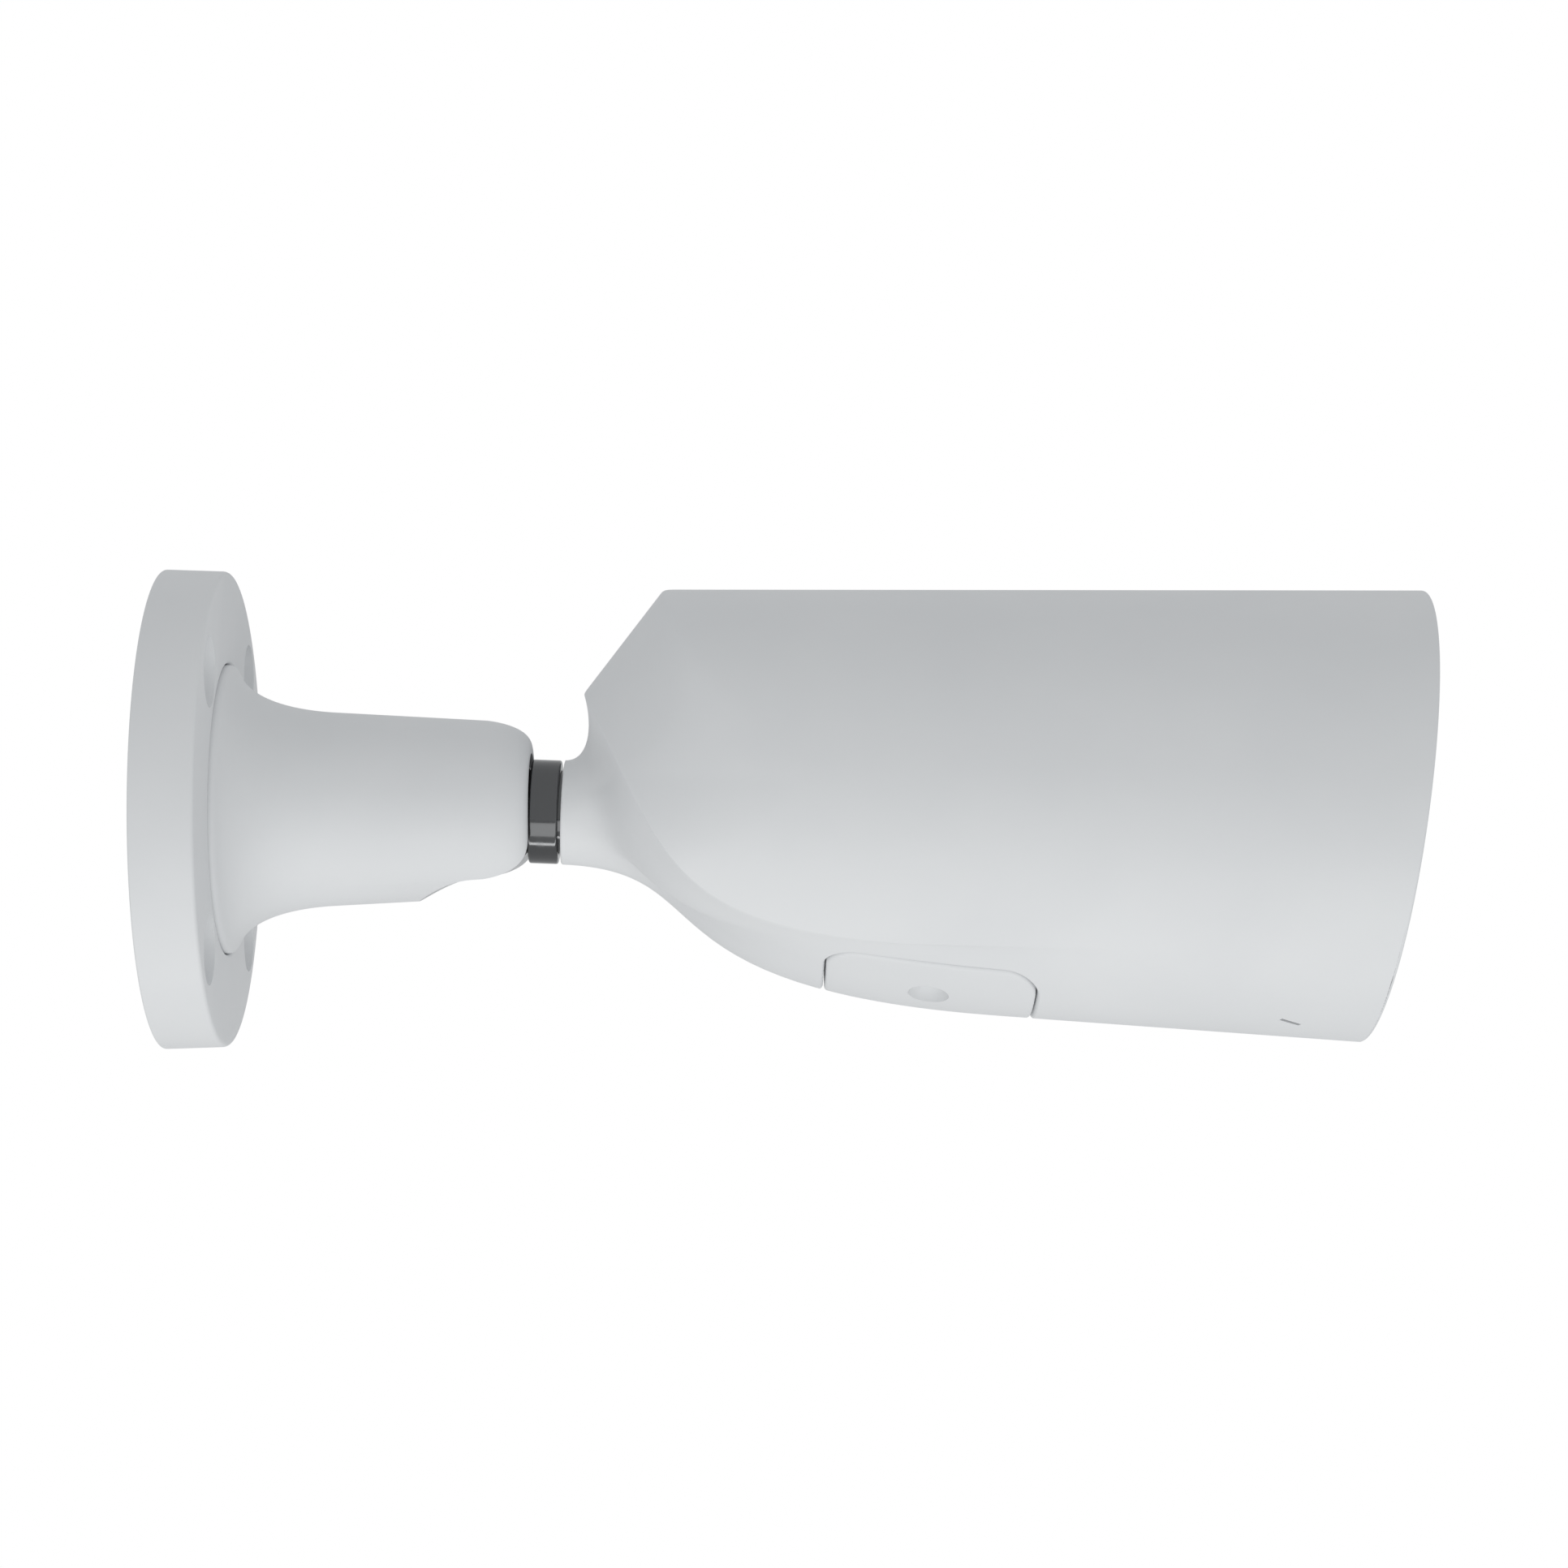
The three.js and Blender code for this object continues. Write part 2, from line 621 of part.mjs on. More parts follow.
// A closed solid between two open section lines, up to a flat top.
function prismoid(first, second, top) {
  const n = first.length;
  const positions = [];
  for (const line of [first, second]) {
    for (const p of line) positions.push(...p);
    for (const [s, y] of line) positions.push(s, y, top);
  }
  const at = (line, level, k) => line * 2 * n + level * n + k;
  const index = [];
  const quad = (a, b, c, d) => index.push(a, b, c, a, c, d);
  for (let k = 0; k < n - 1; k++) {
    quad(at(0, 0, k), at(0, 0, k + 1), at(1, 0, k + 1), at(1, 0, k));
    quad(at(0, 1, k + 1), at(0, 1, k), at(1, 1, k), at(1, 1, k + 1));
    quad(at(0, 1, k), at(0, 1, k + 1), at(0, 0, k + 1), at(0, 0, k));
    quad(at(1, 0, k), at(1, 0, k + 1), at(1, 1, k + 1), at(1, 1, k));
  }
  quad(at(0, 0, 0), at(1, 0, 0), at(1, 1, 0), at(0, 1, 0));
  quad(at(1, 0, n - 1), at(0, 0, n - 1), at(0, 1, n - 1), at(1, 1, n - 1));
  const geometry = new THREE.BufferGeometry();
  geometry.setAttribute("position", new THREE.Float32BufferAttribute(positions, 3));
  geometry.setIndex(index);
  const made = solid(geometry);
  if (made.volume() > 0) return made;
  for (let i = 0; i < index.length; i += 3) [index[i], index[i + 1]] = [index[i + 1], index[i]];
  geometry.setIndex(index);
  return solid(geometry);
}

// The part of the body's skin under the belly that is no deeper than the given depth.
const skin = (from, to) =>
  body.translate([0, 0, from]).subtract(body.translate([0, 0, to]));

function micSlot() {
  const m = MIC_SLOT;
  const cut = block(-m.length / 2, m.length / 2, -m.width / 2, m.width / 2, -12, 12);
  const turnedCut = turnedBy(cut, new THREE.Vector3(0, 0, 1), m.turn);
  const placed = turnedCut.translate([0, 0, -hoodR(m.s)]);
  return centred(aboutX(placed, -(m.angle + Math.PI / 2))).translate([m.s, 0, 0]);
}

function housing() {
  const cavity = innerCone(STEM.grooveS, 200, HOOD.wall)
    .intersect(innerRear(HOOD.wall))
    .intersect(aboveBelly(3.2));
  const c = COVER;
  const b = BAY;
  const frame = roundedPrism(c.s0 - b.frame, c.s1 + b.frame, c.halfY + b.frame, c.corner + b.frame, -60, 0)
    .intersect(skin(0, b.frameDepth));
  const pocket = roundedPrism(c.s0 - c.gap, c.s1 + c.gap, c.halfY + c.gap, c.corner + c.gap, -60, 0)
    .subtract(body.translate([0, 0, c.pocket]));
  const bay = roundedPrism(b.s0, b.s1, b.halfY, b.corner, -60, -20);
  const drainHalf = DRAIN.length / 2;
  const drain = roundedPrism(DRAIN.s - drainHalf, DRAIN.s + drainHalf, DRAIN.width / 2, 1, -60, 0)
    .subtract(body.translate([0, 0, DRAIN.depth]));
  let shell = body
    .subtract(cavity.subtract(frame))
    .subtract(pocket)
    .subtract(bay)
    .subtract(drain)
    .subtract(micSlot())
    .subtract(rod(0, STEM.grooveS + 1, STEM.r + GAP, 32));
  for (const side of [-1, 1])
    shell = shell.subtract(coverScrewAxis(rod(0, 12, COVER_SCREW.shankR + 0.3, 16), side));
  return shell;
}

// Moves a piece made along +X to a cover screw's axis, pointing up from the belly.
function coverScrewAxis(piece, side) {
  return aboutY(piece, -Math.PI / 2).translate([COVER_SCREW.s, side * COVER_SCREW.y, coverScrewH() - 1]);
}

function coverScrewH() {
  const column = rod(-60, 0, 0.2, 8);
  const probe = aboutY(column, -Math.PI / 2).translate([COVER_SCREW.s, COVER_SCREW.y, 0]).intersect(body);
  return probe.boundingBox().min[2];
}

function accessCover() {
  const c = COVER;
  const w = COVER_SCREW;
  const plate = roundedPrism(c.s0, c.s1, c.halfY, c.corner, -60, 0).intersect(skin(0, c.thick));
  const dish = turned([[0, 0], [0, w.dishR + 0.3], [1, w.dishR], [2.1, w.headR + 0.3], [2.1, 0]], 24);
  const through = rod(0, 6, w.shankR + 0.3, 16);
  const boss = rod(1.4, 4.1, w.dishR + 0.6, 24);
  const bossSkin = skin(0.3, c.pocket - GAP);
  let cover = plate;
  for (const side of [-1, 1]) {
    cover = cover.add(coverScrewAxis(boss, side).intersect(bossSkin));
    cover = cover.subtract(coverScrewAxis(dish, side)).subtract(coverScrewAxis(through, side));
  }
  return cover;
}

function coverScrew(side) {
  const w = COVER_SCREW;
  const head = [[1.1, 0], [1.1, w.headR - 0.5], [1.6, w.headR - 0.1], [1.8, w.headR]];
  const shank = [[1.8, w.shankR], [9, w.shankR], [9, 0]];
  return coverScrewAxis(turned([...head, ...shank], 20), side);
}

function coverGasket() {
  const c = COVER;
  const b = BAY;
  return roundedPrism(b.s0 - 2.2, b.s1 + 2, b.halfY + 2, b.corner + 2, -60, 0)
    .subtract(roundedPrism(b.s0 - 0.6, b.s1 + 0.6, b.halfY + 0.6, b.corner + 0.6, -61, 1))
    .intersect(skin(c.thick + GAP, c.pocket - GAP));
}

add(aimed, "housing", "shell", housing());
add(aimed, "access_cover", "shell", accessCover());
add(aimed, "cover_gasket", "rubber", coverGasket());
add(aimed, "cover_screw_1", "steel", coverScrew(-1));
add(aimed, "cover_screw_2", "steel", coverScrew(1));

// ---- front glass -----------------------------------------------------------------------
const innerR = (s) => hoodR(s) - HOOD.wall;

function frontBezel() {
  const f = FRONT;
  const seat = f.windowS - GAP;
  return centred(
    turned(
      [
        [f.bezelS0, f.windowR - 4],
        [f.bezelS0, innerR(f.bezelS0) - GAP],
        [f.bezelS1, innerR(f.bezelS0) - GAP],
        [f.bezelS1, f.windowR + GAP],
        [seat - 1.6, f.windowR + GAP],
        [seat - 1.6, f.windowR - 4],
      ],
      56,
    ),
  );
}

add(aimed, "front_bezel", "black", frontBezel());
add(aimed, "window_seal", "rubber", centred(ring(FRONT.windowS - 1.6, FRONT.windowS - GAP, 34.4, 37.4, 32)));
add(
  aimed,
  "front_window",
  "glass",
  centred(rod(FRONT.windowS, FRONT.windowS + FRONT.windowThick, FRONT.windowR, 32)),
);
add(aimed, "led_board", "board", centred(ring(154, 155.6, 18.4, 36, 32)));
add(aimed, "light_baffle", "rubber", centred(ring(152, FRONT.windowS - GAP, 15.6, 18, 32)));
for (let i = 0; i < LED.count; i++) {
  const angle = (i + 0.5) * (360 / LED.count) * RAD;
  const led = turned([[0, 0], [0, LED.r], [2.6, LED.r], [4.2, 0.6 * LED.r], [5, 0]], 12);
  const place = [LED.s, LED.circleR * Math.cos(angle), LED.circleR * Math.sin(angle)];
  add(aimed, `ir_led_${i + 1}`, "amber", centred(led.translate(place)));
}
add(aimed, "light_sensor", "lens", centred(rod(LED.s, LED.s + 2.5, 1.6, 12).translate([0, 0, -LED.circleR])));
add(aimed, "microphone", "steel", microphoneCapsule());

// The microphone capsule, standing on its side inside the shell behind the slot.
function microphoneCapsule() {
  const capsule = aboutY(rod(36.4, 40.2, 1.9, 12), -Math.PI / 2);
  const placed = aboutX(capsule, Math.PI / 2 - MIC_SLOT.angle);
  return centred(placed.translate([156.8, 0, 0]));
}

// ---- lens ------------------------------------------------------------------------------
// A spur gear about X, with straight-flanked teeth thinned for running backlash.
function gear(teeth, bore, phase) {
  const pitchR = (GEAR.module * teeth) / 2;
  const pitch = (2 * Math.PI) / teeth;
  const profile = [
    [pitchR - 1.1 * GEAR.module, -0.27],
    [pitchR + 0.85 * GEAR.module, -0.11],
    [pitchR + 0.85 * GEAR.module, 0.11],
    [pitchR - 1.1 * GEAR.module, 0.27],
  ];
  const shape = new THREE.Shape();
  for (let i = 0; i < teeth; i++)
    profile.forEach(([r, share], k) => {
      const angle = phase + (i + share) * pitch;
      const point = [r * Math.cos(angle), r * Math.sin(angle)];
      if (i === 0 && k === 0) shape.moveTo(...point);
      else shape.lineTo(...point);
    });
  shape.closePath();
  const hole = new THREE.Path();
  hole.absarc(0, 0, bore, 0, 2 * Math.PI, true);
  shape.holes.push(hole);
  const extrusion = { depth: GEAR.thick, bevelEnabled: false, curveSegments: 12 };
  const geometry = new THREE.ExtrudeGeometry(shape, extrusion);
  geometry.applyMatrix4(alongX(0));
  return solid(geometry);
}

const driveDistance = (GEAR.module * (GEAR.ringTeeth + GEAR.pinionTeeth)) / 2;

function addDrive(name, { s, angle }) {
  const place = [s, driveDistance * Math.cos(angle), driveDistance * Math.sin(angle)];
  const meshPhase = angle + Math.PI + Math.PI / GEAR.pinionTeeth;
  const sleeve = ring(GEAR.thick - 0.5, GEAR.thick + 3, 13.9, 15.2, 24);
  const toothed = gear(GEAR.ringTeeth, 13.6, angle).add(sleeve).translate([s, 0, 0]);
  add(aimed, `${name}_ring`, "black", centred(toothed));
  add(aimed, `${name}_pinion`, "brass", centred(gear(GEAR.pinionTeeth, 0.9, meshPhase).translate(place)));
  const shaft = rod(-2, GEAR.thick + 0.6, 0.6, 12);
  const motor = rod(-16, -2, 4.6, 24).add(rod(-2.5, -1, 2, 16)).add(shaft);
  add(aimed, `${name}_motor`, "steel", centred(motor.translate(place)));
}

const lensBarrel = turned(
  [
    [106, 7],
    [106, 12],
    [124, 12],
    [124, 13.3],
    [148, 13.3],
    [148, 15.2],
    [150.2, 15.2],
    [158, 15.2],
    [158, 12.4],
    [150, 11],
    [112, 7],
  ],
  40,
);
add(aimed, "lens_barrel", "black", centred(lensBarrel));
add(
  aimed,
  "lens_front_element",
  "lens",
  centred(turned([[151.5, 0], [151.5, 10.6], [154, 10.6], [155.6, 8], [156.6, 4.5], [157, 0]], 32)),
);
add(
  aimed,
  "lens_rear_element",
  "lens",
  centred(turned([[107.6, 0], [106.6, 3], [107, 6.6], [110, 6.6], [111.2, 3], [111.6, 0]], 24)),
);
addDrive("zoom", ZOOM);
addDrive("focus", FOCUS);

// ---- filter and sensor -----------------------------------------------------------------
function filterSlide() {
  const plate = block(103.3, 104.7, -17, 6.5, -6.5, 6.5);
  const dayHole = rod(100, 108, 5, 20);
  return centred(plate.subtract(dayHole.translate([0, -10.5, 0])));
}
add(aimed, "ir_cut_filter", "lens", filterSlide());
add(aimed, "filter_solenoid", "steel", centred(block(102.4, 106.4, -28, -17.5, -5, 5)));
add(aimed, "sensor_board", "board", centred(block(98, 99.6, -18, 18, -14, 16)));
add(aimed, "image_sensor", "chip", centred(block(99.9, 101.6, -6, 6, -4.5, 4.5)));

// ---- frame and electronics -------------------------------------------------------------
function chassis() {
  const tray = block(58, 122, -22, 22, -12.6, -11);
  const upright = centred(rod(148.6, 150, 36, 32)).subtract(centred(rod(140, 160, 15.5, 32)));
  const rails = [-1, 1].map((side) => block(57, 149, side * 25 - 1.5, side * 25 + 1.5, -12.6, -6));
  const foot = block(57, 60, -26, 26, -12.6, -8);
  return rails.reduce((all, rail) => all.add(rail), tray.add(upright).add(foot));
}

function memoryCard() {
  return block(84, 99, -8.5, 2.5, -18.2, -17.2);
}

function cardSocket() {
  return block(86, 101, -9.6, 3.6, -19.4, -16.5).subtract(block(80, 99.4, -8.9, 2.9, -18.6, -16.8));
}

function networkJack() {
  return block(62, 84, -9, 9, -10.6, 3).subtract(block(60, 76, -6, 6, -8, 0));
}

add(aimed, "chassis", "aluminium", chassis().subtract(block(62, 112, -9, 9, -12.9, -10.7)));
add(aimed, "service_board", "board", block(70, 111, -9.7, 9.7, -16.2, -14.6));
add(aimed, "card_socket", "steel", cardSocket());
add(aimed, "memory_card", "chip", memoryCard());
add(aimed, "reset_button", "amber", aboutY(rod(0, 2.6, 1.8, 16), Math.PI / 2).translate([106, 0, -17]));
add(aimed, "network_jack", "steel", networkJack());
add(aimed, "power_module", "chip", block(63, 86, 11, 21, -10.6, 4));
add(aimed, "main_board", "board", block(64, 140, -25, 25, 28.4, 30));
add(aimed, "processor", "chip", block(92, 110, -9, 9, 30.3, 32));
add(aimed, "heat_pad", "rubber", block(92, 110, -9, 9, 32.3, 33.4));
add(aimed, "heat_spreader", "aluminium", heatSpreader());
const glandStart = STEM.endS + GAP;
const glandOutline = [[glandStart, 3.2], [glandStart, 9], [45, 9], [53, 5], [53, 3.2]];
add(aimed, "cable_gland", "rubber", turned(glandOutline, 32));

// A finned block: a comb outline in y and h, drawn along s.
function heatSpreader() {
  const shape = new THREE.Shape();
  shape.moveTo(-15, 33.7);
  shape.lineTo(15, 33.7);
  for (let y = 15; y > -15; y -= 6) {
    shape.lineTo(y, 38.6);
    shape.lineTo(y - 3, 38.6);
    shape.lineTo(y - 3, 35.6);
    shape.lineTo(y - 6, 35.6);
  }
  shape.closePath();
  const geometry = new THREE.ExtrudeGeometry(shape, { depth: 42, bevelEnabled: false });
  geometry.applyMatrix4(alongX(80));
  return solid(geometry);
}

export default root;
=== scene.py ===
"""Outdoor bullet camera on a ball-jointed wall arm: its looks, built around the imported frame.

Pieces are made in millimetres and placed in the frame's metres. Those of the wall plate and the arm
use the frame's own x, y, z. Those that aim with the stem use s along the stem's axis from the ball's
centre, y sideways and h up, and AIMED places them. LOCAL leaves a piece in millimetres until it is aimed.
"""

import json
import math

import bmesh
import bpy
from mathutils import Matrix, Vector
from mathutils.bvhtree import BVHTree


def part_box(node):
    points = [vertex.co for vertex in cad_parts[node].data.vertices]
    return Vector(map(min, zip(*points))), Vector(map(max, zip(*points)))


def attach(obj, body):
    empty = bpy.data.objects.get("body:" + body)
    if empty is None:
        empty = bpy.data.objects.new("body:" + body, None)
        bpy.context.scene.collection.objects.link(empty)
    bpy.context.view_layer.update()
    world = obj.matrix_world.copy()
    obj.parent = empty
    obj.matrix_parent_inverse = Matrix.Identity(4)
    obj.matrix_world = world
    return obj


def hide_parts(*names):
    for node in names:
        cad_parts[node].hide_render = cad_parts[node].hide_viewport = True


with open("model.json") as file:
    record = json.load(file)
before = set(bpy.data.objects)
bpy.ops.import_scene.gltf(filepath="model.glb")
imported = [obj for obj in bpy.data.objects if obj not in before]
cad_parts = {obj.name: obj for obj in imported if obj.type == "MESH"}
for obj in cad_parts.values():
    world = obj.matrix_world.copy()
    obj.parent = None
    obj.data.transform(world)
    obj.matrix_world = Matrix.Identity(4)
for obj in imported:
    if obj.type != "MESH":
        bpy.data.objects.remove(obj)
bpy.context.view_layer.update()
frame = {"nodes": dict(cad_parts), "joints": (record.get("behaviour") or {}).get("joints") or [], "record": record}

MM = 0.001
MERGE = 2e-6  # points nearer than this are joined, in the units of the finished mesh
JOINTS = {joint["name"]: joint for joint in frame["joints"]}
STEM_AXIS = JOINTS["camera_roll"]["axis"]
BALL_X = JOINTS["ball_tilt"]["pos_m"][0] / MM
TILT = math.atan2(-STEM_AXIS[2], STEM_AXIS[0])
LOCAL = Matrix.Identity(4)
PLAIN = Matrix.Scale(MM, 4)
AIMED = PLAIN @ Matrix.Translation((BALL_X, 0, 0)) @ Matrix.Rotation(TILT, 4, "Y")

# ---- driving dimensions, in millimetres ----------------------------------------------------------
PLATE_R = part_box("base_plate")[1].y / MM
PLATE_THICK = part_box("base_plate")[1].x / MM
PLATE_RIM_R, PLATE_WEB_X, PLATE_HOLE_R = 43.8, 5.0, 20.0
RECESS_R, RECESS_X = 28.9, 9.0
WALL_HOLE_SPACING, WALL_HOLE_FLOOR_X, WALL_BOSS_R = 53.2, 4.2, 7.5
WALL_HOLE_MOUTH_R, WALL_HOLE_BORE_R, WALL_HOLE_R = 7.0, 4.35, 2.6
PAN_SCREW_RING, PAN_SCREW_ANGLES, PAN_HOLE_R = 17.5, (0, 120, 240), 1.6
FOOT_R, FOOT_X, SPIGOT_R, SPIGOT_X = 28.6, 13.3, 19.7, 5.2
BELL_START = 0.06
BELL = [(FOOT_X, FOOT_R), (14.8, 22.2), (24, 19.6), (34, 19.15)]
NOSE = [(63.4, 17.58), (68, 17), (72.2, 15.4), (72.2, 12.4)]
ARM_BORE_R, ARM_SLOT_R, ARM_SLOT_REACH = 15.3, 11.1, 30
BALL_R, BALL_BORE_R, STEM_R, STEM_END = 13.5, 4.5, 8.0, 41.4
STEM_GROOVES = ((27, 29.4, 6.9), (38, 40.4, 7))  # start, end and radius: the O-ring's and the clip's
COLLAR_S0, COLLAR_S1, COLLAR_R, COLLAR_BORE_R = 11.0, 16.8, 10.3, 8.3
NECK_S, NECK_R, NECK_BORE_R = 17.4, 10.36, 8.3
HOOD_RISE, HOOD_R0, HOOD_TAPER, HOOD_WALL = 5.1, 38.52, 0.0354, 2.6
RIM_S0, RIM_LEAN = 180.93, 0.1026
REAR_R, REAR_LEAN, REAR_OFFSET, REAR_STRAIGHT = 42.0, math.radians(54.53), 3.09, 25.0
REAR_BLEND, BLEND_H = 520.0, (40.0, 8.0)
CREASE = [(20.74, 23.78), (44.1, -10.3), (34.4, -24.1), (110, -22.5)]
CREASE_END_S, BELLY_END_S, KINK_S = 84.0, 105.0, 36.0
FLUTE_SPAN, FLUTE_DEPTH = (58.0, 84.0, 148.0), 5.0  # where the belly's sides are drawn in, and a scale
NECK_PULL, TOP_PULL, BOTTOM_PULL = 0.363, 0.44, 0.81
KINK_ANGLE = math.radians(54)
COVER = {"s0": 70.4, "s1": 111.1, "half_y": 26.0, "corner": 6.5}
COVER_GAP, COVER_THICK, POCKET_DEPTH = 0.35, 2.2, 3.6
BAY = {"s0": 73.5, "s1": 108.0, "half_y": 9.0, "corner": 3.0}
BAY_FRAME, BAY_FRAME_DEPTH, BELLY_WALL = 3.0, 6.0, 3.2
COVER_SCREW_S, COVER_SCREW_Y, DISH_LEAN = 90.5, 15.6, 1.1
COVER_SINK, COVER_ROLL, COVER_BOSS_R, COVER_PILOT_R = 0.02, 0.6, 4.0, 1.8
COVER_RINGS = (0.94, 0.86, 0.76, 0.64, 0.5, 0.36, 0.22, 0.1)  # the cover's face as shares of its outline
MICROPHONE_S, MICROPHONE_TURN, MICROPHONE_ANGLE = 160.7, math.radians(30), math.radians(-24)
DRAIN = {"s0": 157.8, "s1": 165.2, "half_y": 1.2, "corner": 1.0}
WINDOW_S, WINDOW_R, WINDOW_THICK = 164.0, 37.6, 3.0
BEZEL_S0, BEZEL_S1 = 159.5, 168.4
LAMP_BACK, LAMP_RING, LAMP_COUNT = 155.9, 27, 8
GAP = 0.3

# ---- the net of the housing's skin ---------------------------------------------------------------
HALF_COLUMNS = 150  # from the top line (u = 0) round to the bottom line (u = 1)
U_CROSS, U_TURN = 0.4, 0.7  # where the trim leaves the rear cylinder, and where it turns under the belly
NECK_ROWS, REAR_ROWS, CONE_ROWS, RIM_ROWS = 44, 22, 90, 6
EVEN_START, EVEN_RISE, EVEN_FADE = 0.25, 0.25, 0.18  # the share of the columns that is evened out
EVEN_COLUMNS, EVEN_LEAST = 13.0, 0.3  # the greatest and the least width of the evening, in columns
TRIM_SOFTENING, REAR_SOFTENING = (3, 5), (2, 3)  # rows either side, and rounds

# ---- the floor, in metres ------------------------------------------------------------------------
FLOOR_LOOPS = ((0.001, -0.7), (0.5, -0.7), (1.98, -0.7), (2.0, -0.71), (2.0, -0.72))


# ---- meshes --------------------------------------------------------------------------------------
def angles(count=96):
    return [2 * math.pi * k / count for k in range(count)]


def mix(a, b, t):
    return tuple(x + (y - x) * t for x, y in zip(a, b))


def smooth_step(x):
    x = min(1.0, max(0.0, x))
    return x * x * (3 - 2 * x)


def to_object(name, vertices, faces, matrix):
    """
    A mesh object from points in millimetres, with its faces turned outwards and doubled points joined.

    In LOCAL, MERGE is too fine for the poles of large turned pieces, which stay open (see cavity).
    """
    mesh = bpy.data.meshes.new(name)
    mesh.from_pydata([tuple(v) for v in vertices], [], faces)
    mesh.transform(matrix)
    work = bmesh.new()
    work.from_mesh(mesh)
    bmesh.ops.remove_doubles(work, verts=work.verts, dist=MERGE)
    bmesh.ops.recalc_face_normals(work, faces=work.faces)
    work.to_mesh(mesh)
    work.free()
    thing = bpy.data.objects.new(name, mesh)
    bpy.context.scene.collection.objects.link(thing)
    return thing


def filleted(points, radii, steps=4):
    """A line of points with its inner corners rounded; a radius of 0 leaves a corner sharp."""
    result = []
    for i, (point, radius) in enumerate(zip(points, radii)):
        here = Vector(point)
        if not radius or not 0 < i < len(points) - 1:
            result.append(here)
            continue
        to_last = Vector(points[i - 1]) - here
        to_next = Vector(points[i + 1]) - here
        half = to_last.angle(to_next) / 2
        reach = min(radius / math.tan(half), 0.48 * to_last.length, 0.48 * to_next.length)
        first = here + to_last.normalized() * reach
        last = here + to_next.normalized() * reach
        for k in range(steps + 1):
            t = k / steps
            result.append(first * (1 - t) ** 2 + here * 2 * t * (1 - t) + last * t**2)
    return result


def profile(*corners, steps=4):
    """A closed outline of (x, r) or (x, r, fillet radius) corners, with its corners rounded."""
    loop = [corners[-1], *corners, corners[0]]
    points = [corner[:2] for corner in loop]
    radii = [corner[2] if len(corner) > 2 else 0 for corner in loop]
    return [tuple(p) for p in filleted(points, radii, steps)[1:-1]]


def profile_line(corners, steps=4):
    """An open line of (x, r, fillet radius) corners."""
    return [tuple(p) for p in filleted([c[:2] for c in corners], [c[2] for c in corners], steps)]


def bezier(points, t):
    k = 1 - t
    weights = (k**3, 3 * k * k * t, 3 * k * t * t, t**3)
    return tuple(sum(w * p[axis] for w, p in zip(weights, points)) for axis in range(len(points[0])))


def curve(points, steps):
    return [bezier(points, i / steps) for i in range(steps + 1)]


def turned(name, outline, matrix=PLAIN, segments=96, offset=(0, 0, 0)):
    """A closed outline of (x, radius) points turned about the X axis."""
    vertices = [
        (x + offset[0], r * math.cos(angle) + offset[1], r * math.sin(angle) + offset[2])
        for angle in angles(segments)
        for x, r in outline
    ]
    count = len(outline)
    faces = []
    for k in range(segments):
        here, there = k * count, (k + 1) % segments * count
        for i in range(count):
            j = (i + 1) % count
            if outline[i][1] == 0 and outline[j][1] == 0:
                continue
            faces.append((here + i, here + j, there + j, there + i))
    return to_object(name, vertices, faces, matrix)


def loft(name, loops, matrix=PLAIN, capped=True):
    """A skin over closed loops with the same number of points, with its two ends closed."""
    count = len(loops[0])
    vertices = [p for loop in loops for p in loop]
    faces = []
    for row in range(len(loops) - 1):
        here, there = row * count, (row + 1) * count
        for k in range(count):
            following = (k + 1) % count
            faces.append((here + k, here + following, there + following, there + k))
    if capped:
        faces.append(tuple(range(count)))
        faces.append(tuple(range((len(loops) - 1) * count, len(loops) * count)))
    return to_object(name, vertices, faces, matrix)


def block(name, low, high, matrix=PLAIN, round_off=0.0):
    """A block between two corners, with its edges rounded off."""
    vertices = [(x, y, z) for x in (low[0], high[0]) for y in (low[1], high[1]) for z in (low[2], high[2])]
    faces = [(0, 1, 3, 2), (4, 6, 7, 5), (0, 4, 5, 1), (2, 3, 7, 6), (0, 2, 6, 4), (1, 5, 7, 3)]
    thing = to_object(name, vertices, faces, matrix)
    if round_off:
        bevel(thing, round_off)
    return thing


def bevel(thing, width, segments=2):
    rounding = thing.modifiers.new("rounding", "BEVEL")
    rounding.width = width * MM
    rounding.segments = segments
    rounding.limit_method = "ANGLE"
    bake(thing)


def bake(thing):
    """Applies the modifiers of an object to its mesh."""
    bpy.context.view_layer.update()
    evaluated = thing.evaluated_get(bpy.context.evaluated_depsgraph_get())
    mesh = bpy.data.meshes.new_from_object(evaluated)
    thing.modifiers.clear()
    thing.data = mesh


def boolean(thing, tools, operation="DIFFERENCE"):
    """Cuts a mesh by others, which are used up."""
    for tool in tools:
        cut = thing.modifiers.new("cut", "BOOLEAN")
        cut.operation = operation
        cut.solver = "MANIFOLD"
        cut.object = tool
        bake(thing)
        bpy.data.objects.remove(tool)
    return thing


def moved(thing, matrix):
    """Moves the mesh itself, not its object."""
    thing.data.transform(matrix)
    return thing


def shade(thing, degrees=32):
    for polygon in thing.data.polygons:
        polygon.use_smooth = True
    thing.data.set_sharp_from_angle(angle=math.radians(degrees))


def dress(thing, body, slot, *nodes):
    """Gives a piece its shading, body, record slot and the slot's material, in place of its CAD nodes."""
    shade(thing)
    thing.data.materials.clear()
    thing.data.materials.append(MATERIALS[slot])
    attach(thing, body)
    if nodes:
        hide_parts(*nodes)
    return thing


